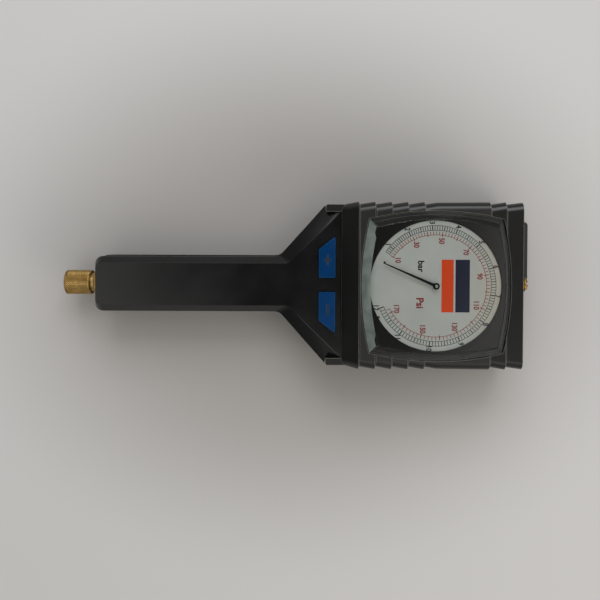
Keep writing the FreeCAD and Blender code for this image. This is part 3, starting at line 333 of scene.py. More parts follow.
def moulded_rubber():
    """Nitrile rubber from a steel mould: dull, with a faintly olive painted highlight along its edges, and lint on it.
    """
    material, tree, place = start("moulded_nitrile_rubber")
    cloud = add(tree, "ShaderNodeTexNoise", {"Vector": place, "Scale": 55, "Detail": 5,
                                             "Roughness": 0.65})
    grain = add(tree, "ShaderNodeTexNoise", {"Vector": place, "Scale": 1 / (0.6 * MM),
                                             "Detail": 4, "Roughness": 0.6})
    lint = add(tree, "ShaderNodeTexVoronoi", {"Vector": place, "Scale": 210, "Randomness": 1})
    speck = stops(add(tree, "ShaderNodeValToRGB", {"Fac": lint.outputs["Distance"]}),
                  (0.0, grey(1)), (0.05, grey(0)))
    tone = stops(add(tree, "ShaderNodeValToRGB", {"Fac": cloud.outputs[0]}),
                 (0.3, linear("#050505")), (0.7, linear("#0a0a09")))
    edge_highlight = worn_edges(tree, 0.55)
    # Painted highlight: the edges take a pale olive grey.
    tint = add(tree, "ShaderNodeMix", data_type="RGBA")
    tree.links.new(edge_highlight, tint.inputs[0])
    tree.links.new(tone, tint.inputs[6])
    tint.inputs[7].default_value = linear("#8d8d84")
    dusty = add(tree, "ShaderNodeMath", {0: speck, 1: 0.1}, operation="MULTIPLY")
    final = add(tree, "ShaderNodeMix", data_type="RGBA")
    tree.links.new(dusty.outputs[0], final.inputs[0])
    tree.links.new(tint.outputs[2], final.inputs[6])
    final.inputs[7].default_value = linear("#a09f98")
    bump = add(tree, "ShaderNodeBump", {"Height": grain.outputs[0], "Strength": 0.4,
                                        "Distance": 0.06 * MM})
    shader = add(tree, "ShaderNodeBsdfPrincipled", {
        "Base Color": final.outputs[2], "Roughness": 0.3, "Normal": bump.outputs[0],
        "IOR": 1.52})
    close(tree, shader)
    return material


def turned_metal(name, dark, light, rough, lines=0.35):
    """Bar metal cut on a lathe: bright, with fine feed lines and a thin uneven tarnish."""
    material, tree, place = start(name)
    cloud = add(tree, "ShaderNodeTexNoise", {"Vector": place, "Scale": 260, "Detail": 4,
                                             "Roughness": 0.6})
    stretch = add(tree, "ShaderNodeMapping", {"Vector": place, "Scale": (1 / (lines * MM), 40, 40)})
    feed = add(tree, "ShaderNodeTexNoise", {"Vector": stretch.outputs[0], "Scale": 1,
                                            "Detail": 2, "Roughness": 0.5})
    tone = stops(add(tree, "ShaderNodeValToRGB", {"Fac": cloud.outputs[0]}),
                 (0.32, linear(dark)), (0.68, linear(light)))
    gloss = add(tree, "ShaderNodeMapRange", {"Value": cloud.outputs[0], "From Min": 0.3,
                                             "From Max": 0.7, "To Min": rough + 0.08,
                                             "To Max": rough - 0.04})
    bump = add(tree, "ShaderNodeBump", {"Height": feed.outputs[0], "Strength": 0.25,
                                        "Distance": 0.02 * MM})
    shader = add(tree, "ShaderNodeBsdfPrincipled", {
        "Base Color": tone, "Roughness": gloss.outputs[0], "Metallic": 1.0,
        "Normal": bump.outputs[0]})
    close(tree, shader)
    return material


def clear_cover():
    """Injection-moulded clear polycarbonate, glossy, with a faint green cast in its thick edges."""
    material, tree, place = start("moulded_clear_polycarbonate")
    haze = add(tree, "ShaderNodeTexNoise", {"Vector": place, "Scale": 90, "Detail": 3})
    gloss = add(tree, "ShaderNodeMapRange", {"Value": haze.outputs[0], "From Min": 0.3,
                                             "From Max": 0.7, "To Min": 0.015, "To Max": 0.05})
    # A sheet this thin hardly bends the view, so it is a clear view under the reflection of its
    # outer side. The inner side's is added to it, since both sides lie so close together.
    outer = add(tree, "ShaderNodeNewGeometry").outputs["Backfacing"]
    front = add(tree, "ShaderNodeMath", {0: 1.0, 1: outer}, operation="SUBTRACT")
    angle = add(tree, "ShaderNodeFresnel", {"IOR": 1.585})
    both = add(tree, "ShaderNodeMath", {0: angle.outputs[0], 1: 0.7}, operation="MULTIPLY")
    shine = add(tree, "ShaderNodeMath", {0: both.outputs[0], 1: front.outputs[0]},
                operation="MULTIPLY")
    mirror = add(tree, "ShaderNodeBsdfGlossy", {"Roughness": gloss.outputs[0]})
    through = add(tree, "ShaderNodeBsdfTransparent", {"Color": linear("#f3f5f4")})
    mixed = add(tree, "ShaderNodeMixShader", {0: shine.outputs[0], 1: through.outputs[0],
                                              2: mirror.outputs[0]})
    close(tree, mixed)
    return material


def matt_cover():
    """The cover's end bevel with a painted reflection: a matt, milky green-grey polycarbonate standing in for the
    bright crescent it shows.
    """
    material, tree, place = start("polycarbonate_bevel_painted_reflection")
    haze = add(tree, "ShaderNodeTexNoise", {"Vector": place, "Scale": 1 / (6 * MM), "Detail": 3})
    tone = stops(add(tree, "ShaderNodeValToRGB", {"Fac": haze.outputs[0]}),
                 (0.3, linear("#74807b")), (0.7, linear("#98a49f")))
    shader = add(tree, "ShaderNodeBsdfPrincipled", {
        "Base Color": tone, "Roughness": 0.35, "IOR": 1.585, "Transmission Weight": 0.2})
    close(tree, shader)
    return material


def dial_enamel():
    """White baked enamel on aluminium sheet, with a faint orange-peel gloss and painted shade towards its +X edge."""
    material, tree, place = start("white_baked_enamel")
    cloud = add(tree, "ShaderNodeTexNoise", {"Vector": place, "Scale": 70, "Detail": 3})
    peel = add(tree, "ShaderNodeTexNoise", {"Vector": place, "Scale": 1 / (0.9 * MM), "Detail": 2})
    tone = stops(add(tree, "ShaderNodeValToRGB", {"Fac": cloud.outputs[0]}),
                 (0.3, linear("#bdbdba")), (0.7, linear("#c5c5c2")))
    # Painted shade: the dial grows darker and warmer towards its +X edge.
    side = add(tree, "ShaderNodeSeparateXYZ", {0: place})
    plus_x_painted_shade = add(tree, "ShaderNodeMapRange", {"Value": side.outputs["X"], "From Min": 18 * MM,
                                            "From Max": 42 * MM, "To Min": 0.0, "To Max": 0.5})
    warm_shade_mix = add(tree, "ShaderNodeMix", {0: plus_x_painted_shade.outputs[0]}, data_type="RGBA")
    tree.links.new(tone, warm_shade_mix.inputs[6])
    warm_shade_mix.inputs[7].default_value = linear("#bda98c")
    bump = add(tree, "ShaderNodeBump", {"Height": peel.outputs[0], "Strength": 0.1,
                                        "Distance": 0.02 * MM})
    shader = add(tree, "ShaderNodeBsdfPrincipled", {
        "Base Color": warm_shade_mix.outputs[2], "Roughness": 0.42, "Normal": bump.outputs[0], "IOR": 1.5})
    close(tree, shader)
    return material


def screen_ink(name, code):
    """Screen-printed ink, matt, with a slightly uneven cover."""
    material, tree, place = start(name)
    mottled = add(tree, "ShaderNodeTexNoise", {"Vector": place, "Scale": 1 / (0.5 * MM),
                                               "Detail": 3, "Roughness": 0.6})
    base = linear(code)
    thin = tuple(c + (0.5 - c) * 0.03 for c in base[:3]) + (1,)
    tone = stops(add(tree, "ShaderNodeValToRGB", {"Fac": mottled.outputs[0]}),
                 (0.35, base), (0.75, thin))
    shader = add(tree, "ShaderNodeBsdfPrincipled", {"Specular IOR Level": 0.15, "Base Color": tone, "Roughness": 0.55,
                                                    "IOR": 1.5})
    close(tree, shader)
    return material


def floor_card(painted_shade_colour, card_colour):
    """A plain matt card with painted shade: darker round the object than at its corners, standing in for the soft
    shadow there.
    """
    material, tree, place = start("matt_card_painted_shade")
    centre = add(tree, "ShaderNodeMapping", {"Vector": place, "Location": (0.085, 0.0, 0),
                                             "Scale": (1, 1.25, 1)})
    reach = add(tree, "ShaderNodeVectorMath", {0: centre.outputs[0]}, operation="LENGTH")
    spread = add(tree, "ShaderNodeMapRange", {"Value": reach.outputs["Value"], "From Min": 0.08,
                                              "From Max": 0.27}, interpolation_type="SMOOTHSTEP")
    tone = stops(add(tree, "ShaderNodeValToRGB", {"Fac": spread.outputs[0]}),
                 (0.0, linear(painted_shade_colour)), (1.0, linear(card_colour)))
    grain = add(tree, "ShaderNodeTexNoise", {"Vector": place, "Scale": 900, "Detail": 2})
    bump = add(tree, "ShaderNodeBump", {"Height": grain.outputs[0], "Strength": 0.05,
                                        "Distance": 0.05 * MM})
    shader = add(tree, "ShaderNodeBsdfPrincipled", {"Base Color": tone, "Roughness": 0.8,
                                                    "Normal": bump.outputs[0]})
    close(tree, shader)
    return material


MADE = {}


def finish(name):
    """Each finish is made once and shared by the pieces that have it."""
    if name not in MADE:
        colours = bpy.context.scene.gauge_colours
        MADE[name] = {
            # The second colour given to each moulding is its painted edge highlight.
            "housing": lambda: moulded_abs("moulded_black_abs", colours.housing, "#232426",
                                           rough=(0.18, 0.25)),
            "surround": lambda: moulded_abs("moulded_black_abs_surround", "#0f0d0d", "#232121", depth=0.005, shine=0.2,
                                            rough=(0.3, 0.4)),
            "button": lambda: moulded_abs("moulded_blue_abs", colours.button, "#3f7fb5",
                                          grain=0.4, depth=0.03, rough=(0.14, 0.2)),
            # Painted shade: a dark blue for the sunk floors of the plus and minus signs.
            "sign": lambda: moulded_abs("blue_abs_painted_recess_shade", "#020d1f", "#0a2748", grain=0.4,
                                        depth=0.03, rough=(0.4, 0.5)),
            "rubber": moulded_rubber,
            "brass": lambda: turned_metal("turned_brass", "#9c7f4b", colours.brass, 0.34),
            "steel": lambda: turned_metal("turned_steel", "#8b8d8f", "#b4b6b8", 0.28),
            "aluminium": lambda: turned_metal("machined_aluminium", "#a6a8aa", "#c3c5c6", 0.34),
            "black_steel": lambda: turned_metal("blackened_steel", "#1a1a1b", "#2a2a2b", 0.45),
            "clear": clear_cover,
            "clear_bevel_painted_reflection": matt_cover,
            "enamel": dial_enamel,
            "black_ink": lambda: screen_ink("black_screen_ink", "#0c0c0c"),
            "red_ink": lambda: screen_ink("red_screen_ink", "#8e1a1c"),
            "orange_ink": lambda: screen_ink("orange_screen_ink", colours.block),
            "navy_ink": lambda: screen_ink("navy_screen_ink", "#0c1433"),
        }[name]()
    return MADE[name]


# Sizes and colours that a user would change


class GaugeSizes(bpy.types.PropertyGroup):
    """Sizes of the dressed pieces, in millimetres."""

    edge_break: bpy.props.FloatProperty(
        name="Edge break", description="Width of the small break on moulded edges",
        default=0.45, min=0.05, max=1.5)
    knurl_count: bpy.props.IntProperty(
        name="Knurl count", description="Diamonds round the brass sleeve", default=36, min=12, max=90)
    thread_pitch: bpy.props.FloatProperty(
        name="Thread pitch", description="Pitch of the outlet's thread", default=1.34, min=0.5, max=2.5)
    ink: bpy.props.FloatProperty(
        name="Ink", description="Thickness of the printed ink", default=0.018, min=0.005, max=0.1)
    numeral: bpy.props.FloatProperty(
        name="Numeral", description="Height of the dial's numerals", default=3.5, min=1, max=6)


class GaugeColours(bpy.types.PropertyGroup):
    """Colours as sRGB hex codes."""

    housing: bpy.props.StringProperty(
        name="Housing", description="Colour of the moulded shells", default="#070708")
    button: bpy.props.StringProperty(
        name="Button", description="Colour of the push buttons", default="#00315f")
    brass: bpy.props.StringProperty(
        name="Brass", description="Lighter tone of the brass", default="#b99a60")
    block: bpy.props.StringProperty(
        name="Block", description="Colour of the printed block", default="#e8470f")
    # Painted shade: the darker floor colour round the object stands in for its shadow.
    floor_near: bpy.props.StringProperty(
        name="Floor", description="Colour of the floor round the object", default="#a8a6a3")
    floor_far: bpy.props.StringProperty(
        name="Floor corners", description="Colour of the floor further out", default="#d2d2d1")


class GaugeStage(bpy.types.PropertyGroup):
    """Camera and light."""

    camera_place: bpy.props.FloatVectorProperty(
        name="Camera", description="Where the camera stands", subtype="XYZ", unit="LENGTH",
        default=(-0.08286, 0.02566, 0.45067))
    camera_turn: bpy.props.FloatVectorProperty(
        name="Camera turn", description="How the camera is turned", subtype="EULER", unit="ROTATION",
        default=(math.radians(-0.963), 0.0, math.radians(0.248)))
    focal: bpy.props.FloatProperty(
        name="Focal length", description="Focal length in mm on a 36 mm sensor", default=40.02)
    framing: bpy.props.FloatProperty(
        name="Framing", description="How far the frame sits below the lens's axis",
        default=-0.0757)
    sky: bpy.props.FloatProperty(
        name="Sky", description="Strength of the even light from all round", default=1.28)


# Pieces


class GAUGE_OT_housings(bpy.types.Operator):
    """Remakes the two moulded shells with broken edges"""

    bl_idname = "gauge.housings"
    bl_label = "Housings"

    def execute(self, context):
        sizes = context.scene.gauge_sizes
        for node in ("front_housing", "rear_housing"):
            piece = remade(node, node + "_moulding", sizes.edge_break)
            finish_piece(piece, finish("housing"), "housing", [node])
        return {"FINISHED"}


class GAUGE_OT_boot(bpy.types.Operator):
    """Remakes the ribbed rubber boot with soft edges"""

    bl_idname = "gauge.boot"
    bl_label = "Boot"

    def execute(self, context):
        piece = remade("rubber_boot", "ribbed_boot", 0.3, sharp=22)
        finish_piece(piece, finish("rubber"), "housing", ["rubber_boot"])
        return {"FINISHED"}


class GAUGE_OT_cover(bpy.types.Operator):
    """Remakes the clear cover and the surround under it"""

    bl_idname = "gauge.cover"
    bl_label = "Cover"

    def execute(self, context):
        piece = remade("lens", "clear_cover", 0.25, segments=3, sharp=20, flat=0.5)
        finish_piece(piece, finish("clear"), "housing", ["lens"])
        # Painted reflection: only the left end bevel takes the pale matt finish.
        piece.data.materials.append(finish("clear_bevel_painted_reflection"))
        for face in piece.data.polygons:
            if face.normal.x < -0.4 and face.normal.z > 0.3 and face.center.x < -0.038:
                face.material_index = 1
        plate = remade("bezel_plate", "dial_surround", 0.25)
        finish_piece(plate, finish("surround"), "housing", ["bezel_plate"])
        return {"FINISHED"}


def dial_angle(bar):
    """Degrees clockwise from the dial's left, seen with its figures upright: a Bourdon tube's scale opens out."""
    return -160.75 + 21.10 * bar + 0.4548 * bar * bar


def on_dial(radius, degrees):
    """A point of the dial in millimetres. Angles run clockwise from the +X side."""
    turn = math.radians(-degrees)
    return radius * math.cos(turn), radius * math.sin(turn)


def strip(name, radius, width, first, last, level, thick):
    """A printed arc, spun from one short radial edge."""
    x, y = on_dial(radius, first)
    bpy.ops.mesh.primitive_plane_add(size=MM, location=(0, 0, 0))
    piece = newest(name)
    edit(piece)
    bpy.ops.transform.resize(value=(width, 1, 1))
    done()
    pick(piece, "VERT", lambda v: v.co.y > 0)
    bpy.ops.mesh.delete(type="VERT")
    bpy.ops.mesh.select_all(action="SELECT")
    bpy.ops.transform.translate(value=(radius * MM, 0.5 * MM, 0))
    bpy.ops.mesh.spin(steps=int(abs(last - first)), angle=math.radians(abs(last - first)),
                      center=(0, 0, 0), axis=(0, 0, 1))
    done()
    piece.rotation_euler = (0, 0, math.radians(-first))
    settle(piece)
    piece.location = (0, 0, level * MM)
    settle(piece)
    outward(piece)
    modify(piece, "SOLIDIFY", thickness=thick * MM, offset=1)
    return piece


def level_out(piece, level, thick):
    """Turns the faces of a flat print outward."""
    edit(piece)
    bpy.ops.mesh.normals_make_consistent(inside=False)
    done()
    return piece


def ticks(name, marks, level, thick):
    """Printed ticks, from one modelled mark that is copied. marks: (degrees, inner, outer, width)."""
    bpy.ops.mesh.primitive_cube_add(size=MM, location=(0, 0, 0))
    model = newest(name + "_model")
    edit(model)
    bpy.ops.transform.resize(value=(1, 1, thick))
    bpy.ops.transform.translate(value=(0.5 * MM, 0, thick / 2 * MM))
    done()
    pick(model, "FACE", lambda f: f.normal.z < -0.9)
    bpy.ops.mesh.delete(type="ONLY_FACE")
    done()
    made = []
    for degrees, inner, outer, width in marks:
        mark = model.copy()
        mark.data = model.data.copy()
        bpy.context.scene.collection.objects.link(mark)
        mark.matrix_world = (Matrix.Rotation(math.radians(-degrees), 4, "Z")
                             @ Matrix.Translation((inner * MM, 0, level * MM))
                             @ Matrix.Diagonal((outer - inner, width, 1, 1)))
        made.append(mark)
    bpy.data.objects.remove(model)
    piece = merged(made, name)
    settle(piece)
    return piece


def print_text(name, text, x, y, height, width, level, thick, lean=-90, weight=0.03):
    """A figure or word printed on the dial, upright in the dial's own sense."""
    deselect()
    bpy.ops.object.text_add(location=(0, 0, 0))
    piece = newest(name)
    piece.data.body = text
    piece.data.resolution_u = 4
    piece.data.size = 1
    piece.data.extrude = 0.5
    # The built-in face has thin strokes, so they are made as heavy as a printed figure's.
    piece.data.offset = weight
    only(piece)
    bpy.ops.object.convert(target="MESH")
    piece = newest(name)
    xs = [v.co.x for v in piece.data.vertices]
    ys = [v.co.y for v in piece.data.vertices]
    tall = max(ys) - min(ys)
    wide = max(xs) - min(xs)
    centre = Vector(((max(xs) + min(xs)) / 2, (max(ys) + min(ys)) / 2, 0))
    across = (width / wide if width else height / tall * 0.82) * MM
    piece.matrix_world = (Matrix.Translation((x * MM, y * MM, (level + thick / 2) * MM))
                          @ Matrix.Rotation(math.radians(lean), 4, "Z")
                          @ Matrix.Diagonal((across, height / tall * MM, thick * MM, 1))
                          @ Matrix.Translation(-centre))
    settle(piece)
    return piece


def disc(name, x, y, radius, level, thick, sides=24):
    bpy.ops.mesh.primitive_cylinder_add(vertices=sides, radius=radius * MM, depth=thick * MM,
                                        location=(x * MM, y * MM, (level + thick / 2) * MM))
    piece = newest(name)
    settle(piece)
    return piece


class GAUGE_OT_dial(bpy.types.Operator):
    """Prints the dial: two scales, their figures, the unit words and two plain blocks"""

    bl_idname = "gauge.dial"
    bl_label = "Dial"

    def execute(self, context):
        sizes = context.scene.gauge_sizes
        level, thick = 44.0, sizes.ink
        first, last = dial_angle(0.7), dial_angle(12)
        black = [strip("outer_line", 36.9, 0.3, first, last, level, thick),
                 strip("inner_line", 34.0, 0.3, first, last, level, thick)]
        marks = []
        for step in range(7, 121):
            wide = 0.62 if step % 10 == 0 else 0.5 if step % 5 == 0 else 0.36
            marks.append((dial_angle(step / 10), 34.0, 36.9, wide))
        black.append(ticks("bar_ticks", marks, level, thick))
        for bar in range(1, 13):
            x, y = on_dial(38.7, dial_angle(bar) + (0 if bar < 12 else 1.5))
            black.append(print_text(f"bar_{bar}", str(bar), x, y, sizes.numeral,
                                    None, level, thick))
        black.append(print_text("bar_word", "bar", -8.9, 11.8, 3.9, 7.1, level, thick))
        for radius, degrees in ((34.3, -155.5), (39.6, 151)):
            x, y = on_dial(radius, degrees)
            black.append(disc(f"dot_{len(black)}", x, y, 0.7, level, thick))
        finish_piece(merged(black, "black_print"), finish("black_ink"), "housing")

        red = [strip("red_line", 31.2, 0.32, dial_angle(10 / 14.5038), dial_angle(172 / 14.5038),
                     level, thick)]
        marks = []
        for psi in range(10, 174, 2):
            inner = 30.3 if psi % 10 == 0 else 31.2
            marks.append((dial_angle(psi / 14.5038), inner, 33.3, 0.5 if psi % 10 == 0 else 0.38))
        red.append(ticks("psi_ticks", marks, level, thick))
        for psi in range(10, 180, 20):
            x, y = on_dial(27.7, dial_angle(psi / 14.5038))
            red.append(print_text(f"psi_{psi}", str(psi), x, y, sizes.numeral, None, level, thick))
        red.append(print_text("psi_word", "Psi", -9.5, -10.5, 4.6, 6.3, level, thick))
        finish_piece(merged(red, "red_print"), finish("red_ink"), "housing")

        for name, x, width, colour in (("orange_block", 7.3, 7.4, "orange_ink"),
                                       ("navy_block", 16.5, 8.8, "navy_ink")):
            bpy.ops.mesh.primitive_cube_add(size=MM, location=(x * MM, 0, (level + thick / 2) * MM))
            block = newest(name)
            block.scale = (width, 32.2, thick)
            settle(block)
            modify(block, "BEVEL", width=0.004 * MM, segments=1, limit_method="ANGLE")
            finish_piece(block, finish(colour), "housing")

        frame["nodes"]["dial_plate"].data.materials.clear()
        frame["nodes"]["dial_plate"].data.materials.append(finish("enamel"))
        return {"FINISHED"}


class GAUGE_OT_pointer(bpy.types.Operator):
    """Makes the pointer: a tapered stamped blade, a turned hub and its bright pin"""

    bl_idname = "gauge.pointer"
    bl_label = "Pointer"

    def execute(self, context):
        low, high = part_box("pointer")
        rest = math.radians(156.4)
        bpy.ops.mesh.primitive_cube_add(size=MM, location=(0, 0, 0))
        blade = newest("pointer_blade")
        edit(blade)
        bpy.ops.transform.resize(value=(35, 1.9, 0.4))
        bpy.ops.transform.translate(value=(17.5 * MM, 0, 46.25 * MM))
        done()
        pick(blade, "VERT", lambda v: v.co.x > 0.01)
        bpy.ops.transform.resize(value=(1, 0.32, 1), center_override=(0.035, 0, 0.04625))
        done()
        modify(blade, "BEVEL", width=0.12 * MM, segments=2, limit_method="ANGLE")
        bpy.ops.mesh.primitive_cylinder_add(vertices=64, radius=2.05 * MM, depth=1.05 * MM,
                                            location=(0, 0, 46.25 * MM))
        hub = newest("pointer_hub")
        settle(hub)
        pick(hub, "FACE", lambda f: f.normal.z > 0.9)
        bpy.ops.mesh.inset(thickness=0.45 * MM)
        bpy.ops.transform.translate(value=(0, 0, 0.12 * MM))
        bpy.ops.mesh.inset(thickness=0.35 * MM)
        bpy.ops.transform.translate(value=(0, 0, -0.15 * MM))
        done()
        modify(hub, "BEVEL", width=0.1 * MM, segments=2, limit_method="ANGLE")
        piece = merged([blade, hub], "stamped_pointer")
        piece.rotation_euler = (0, 0, rest)
        settle(piece)
        smooth(piece)
        finish_piece(piece, finish("black_steel"), "pointer_body", ["pointer"])
        pin = turned_piece("pointer_pin", [(0.05, 46.9), (0.7, 46.9), (0.95, 47.0), (0.95, 47.15),
                                           (0.75, 47.3), (0.4, 47.38), (0.05, 47.4)], 32)
        finish_piece(pin, finish("steel"), "pointer_body")
        return {"FINISHED"}


def button_block(name, left, right, inner, outer, low, high):
    """A solid with a button's outline: square at the inner end, cut back along the flare outside."""
    bpy.ops.mesh.primitive_plane_add(size=MM)
    piece = newest(name)
    edit(piece)
    bpy.ops.transform.resize(value=(right - left, abs(outer - inner), 1))
    bpy.ops.transform.translate(value=((left + right) / 2 * MM, (inner + outer) / 2 * MM,
                                       low * MM))
    done()
    data = piece.data
    pick(piece, "VERT", lambda v: v.co.x < (left + right) / 2 * MM
         and abs(v.co.y - outer * MM) < 1e-6)
    bpy.ops.transform.translate(value=(0, (inner - outer) * 8 / 25.5 * MM, 0))
    bpy.ops.mesh.select_all(action="SELECT")
    bpy.ops.mesh.extrude_region_move(TRANSFORM_OT_translate={"value": (0, 0, (high - low) * MM)})
    bpy.ops.mesh.select_all(action="SELECT")
    bpy.ops.mesh.fill_holes(sides=0)
    done()
    outward(piece)
    return piece


class GAUGE_OT_buttons(bpy.types.Operator):
    """Makes the two push buttons with their rounded corners and sunk plus and minus signs"""

    bl_idname = "gauge.buttons"
    bl_label = "Buttons"

    def execute(self, context):
        for node, body, side in (("inflate_button", "inflate_body", 1),
                                 ("deflate_button", "deflate_body", -1)):
            low, high = (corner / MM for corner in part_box(node))
            inner, outer = sorted((low.y, high.y), key=abs)
            flange = button_block(node + "_flange", low.x, high.x, inner, outer,
                                  low.z, low.z + 1.3)
            lip = 1.2
            cap = button_block(node + "_cap", low.x + lip, high.x - lip, inner + side * lip,
                               outer - side * lip, low.z, high.z)
            data = cap.data
            tip = max(data.vertices, key=lambda v: abs(v.co.y)).co.y
            for at_tip, radius in ((True, 1.2), (False, 0.5)):
                pick(cap, "EDGE", lambda e: abs(
                    data.vertices[e.vertices[0]].co.z - data.vertices[e.vertices[1]].co.z) > 0.002
                    and at_tip == (abs(data.vertices[e.vertices[0]].co.y - tip) < 1e-5))
                bpy.ops.mesh.bevel(offset=radius * MM, segments=5)
                done()
            bars = [(1.6, 6.8)] if side < 0 else [(1.3, 6.4), (4.8, 1.3)]
            for wide, tall in bars:
                bpy.ops.mesh.primitive_cube_add(size=MM)
                tool = newest("sign_cutter")
                tool.scale = (wide, tall, 1.3)
                tool.location = (-65.6 * MM, side * 15.4 * MM, high.z * MM)
                settle(tool)
                modify(cap, "BOOLEAN", operation="DIFFERENCE", object=tool, solver="EXACT")
                bpy.data.objects.remove(tool)
            floor_level = (high.z - 0.6) * MM
            modify(cap, "BEVEL", width=0.3 * MM, segments=3, limit_method="ANGLE",
                   angle_limit=math.radians(50), use_clamp_overlap=True)
            cap = merged([cap, flange], node + "_cap")
            smooth(cap, 34)
            modify(cap, "WEIGHTED_NORMAL", keep_sharp=True)
            finish_piece(cap, finish("button"), body, [node])
            # Painted shade: the sunk floors of the signs take the dark blue.
            cap.data.materials.append(finish("sign"))
            for face in cap.data.polygons:
                if abs(face.center.z - floor_level) < 0.1 * MM and face.normal.z > 0.9:
                    face.material_index = 1
        return {"FINISHED"}


def knurled_band(name, radius, height, left, right, count, rows, centre):
    """A band of raised diamonds along X: a grid is poked, its own lines go, and the diamonds are poked."""
    bpy.ops.mesh.primitive_cylinder_add(
        vertices=count, radius=radius * MM, depth=(right - left) * MM, end_fill_type="NOTHING",
        location=((left + right) / 2 * MM, centre[1], centre[2]), rotation=(0, math.pi / 2, 0))
    piece = newest(name)
    settle(piece)
    data = piece.data
    pick(piece, "EDGE", lambda e: abs(data.vertices[e.vertices[0]].co.x
                                      - data.vertices[e.vertices[1]].co.x) > 0.5 * MM)
    bpy.ops.mesh.subdivide(number_cuts=rows - 1)
    done()
    grid = len(data.vertices)
    edit(piece)
    bpy.ops.mesh.poke(offset=0)
    done()
    ends = (left * MM + 1e-6, right * MM - 1e-6)
    pick(piece, "EDGE", lambda e: max(e.vertices) < grid and not all(
        data.vertices[i].co.x < ends[0] or data.vertices[i].co.x > ends[1] for i in e.vertices))
    bpy.ops.mesh.dissolve_edges(use_verts=False)
    done()
    pick(piece, "FACE", lambda f: len(f.vertices) == 4)
    bpy.ops.mesh.poke(offset=height * MM, use_relative_offset=False)
    done()
    return piece


class GAUGE_OT_coupling(bpy.types.Operator):
    """Makes the knurled sleeve of the air-line coupling and the hexagonal neck behind it"""

    bl_idname = "gauge.coupling"
    bl_label = "Coupling"

    def execute(self, context):
        low, high = (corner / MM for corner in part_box("coupler_sleeve"))
        centre = (0, 0, (low.z + high.z) / 2 * MM)
        radius = (high.z - low.z) / 2
        left, right = low.x + 1.1, high.x - 0.9
        sleeve = knurled_band("knurled_sleeve", radius - 0.36, 0.34, left, right,
                              context.scene.gauge_sizes.knurl_count, 11, centre)
        edges = sleeve.data
        pick(sleeve, "EDGE", lambda e: all(edges.vertices[i].co.x < left * MM + 1e-6
                                           for i in e.vertices))
        grow(sleeve, [(radius - 0.05, left - 0.15), (radius - 0.05, left - 0.45),
                      (radius - 0.35, low.x + 0.15), (radius - 0.9, low.x), (5.55, low.x),
                      (5.5, low.x + 0.2), (5.5, high.x - 3.6)], 0, centre)
        done()
        pick(sleeve, "EDGE", lambda e: all(right * MM - 1e-6 < edges.vertices[i].co.x
                                           for i in e.vertices))
        grow(sleeve, [(radius - 0.05, right + 0.12), (radius - 0.05, right + 0.4),
                      (radius - 0.4, high.x), (6.75, high.x), (6.7, high.x - 0.1),
                      (6.7, high.x - 3.6), (5.5, high.x - 3.6)], 0, centre)
        done()
        outward(sleeve)
        smooth(sleeve, 20)
        finish_piece(sleeve, finish("brass"), "sleeve_body", ["coupler_sleeve"])
        neck = remade("coupling_neck", "hexagonal_neck", 0.25, segments=2)
        finish_piece(neck, finish("brass"), body_of_node("coupling_neck"),
                     ["coupling_neck"])
        return {"FINISHED"}


class GAUGE_OT_outlet(bpy.types.Operator):
    """Makes the threaded outlet stub: a zigzag profile screwed round its axis, with turned ends"""

    bl_idname = "gauge.outlet"
    bl_label = "Outlet stub"

    def execute(self, context):
        low, high = (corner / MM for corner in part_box("outlet_stub"))
        centre_z = (low.z + high.z) / 2
        radius = (high.z - low.z) / 2
        pitch = context.scene.gauge_sizes.thread_pitch
        first = high.x - 1.0 - 6 * pitch
        bpy.ops.mesh.primitive_plane_add(size=MM)
        piece = newest("threaded_stub")
        edit(piece)
        bpy.ops.mesh.merge(type="CENTER")
        bpy.ops.transform.translate(value=(first * MM, 0, (radius - 0.75) * MM))
        for turn in range(6):
            for x, z in ((0.42, 0.72), (0.16, 0.0), (0.42, -0.72), (0.0, 0.0)):
                step = pitch - 1.0 if (x, z) == (0.0, 0.0) else x
                bpy.ops.mesh.extrude_region_move(
                    TRANSFORM_OT_translate={"value": (step * MM, 0, z * MM)})
        done()
        modify(piece, "SCREW", axis="X", angle=2 * math.pi, screw_offset=pitch * MM, steps=48,
               render_steps=48, use_merge_vertices=True, merge_threshold=0.004 * MM)
        piece.location.z = centre_z * MM
        settle(piece)
        edit(piece)
        bpy.ops.mesh.remove_doubles(threshold=0.004 * MM)
        bpy.ops.mesh.bisect(plane_co=(first * MM + pitch * MM, 0, centre_z * MM),
                            plane_no=(1, 0, 0), clear_inner=True)
        bpy.ops.mesh.select_all(action="SELECT")
        bpy.ops.mesh.bisect(plane_co=((high.x - 1.0) * MM, 0, centre_z * MM),
                            plane_no=(1, 0, 0), clear_outer=True)
        done()
        centre = (0, 0, centre_z * MM)
        data = piece.data
        pick(piece, "EDGE", lambda e: all(data.vertices[i].co.x > (high.x - 1.0) * MM - 2e-6
                                          for i in e.vertices))
        grow(piece, [(radius - 0.75, high.x - 0.55), (radius - 1.1, high.x), (2.2, high.x),
                     (2.05, high.x - 0.15), (2.0, low.x)], 0, centre)
        done()
        start_x = (first + pitch) * MM
        pick(piece, "EDGE", lambda e: all(abs(data.vertices[i].co.x - start_x) < 2e-6
                                          for i in e.vertices))
        grow(piece, [(radius - 0.75, first + pitch - 0.3), (radius, first + pitch - 0.6),
                     (radius, low.x + 4.0), (radius - 0.6, low.x + 3.6), (radius - 0.6, low.x),
                     (2.0, low.x)], 0, centre)
        done()
        outward(piece)
        smooth(piece, 30)
        finish_piece(piece, finish("brass"), "housing", ["outlet_stub"])
        return {"FINISHED"}


class GAUGE_OT_hook(bpy.types.Operator):
    """Remakes the folding hook with softened edges"""

    bl_idname = "gauge.hook"
    bl_label = "Hook"

    def execute(self, context):
        piece = remade("hanging_hook", "folding_hook", 0.6, segments=3)
        finish_piece(piece, finish("housing"), "hook_body", ["hanging_hook"])
        return {"FINISHED"}


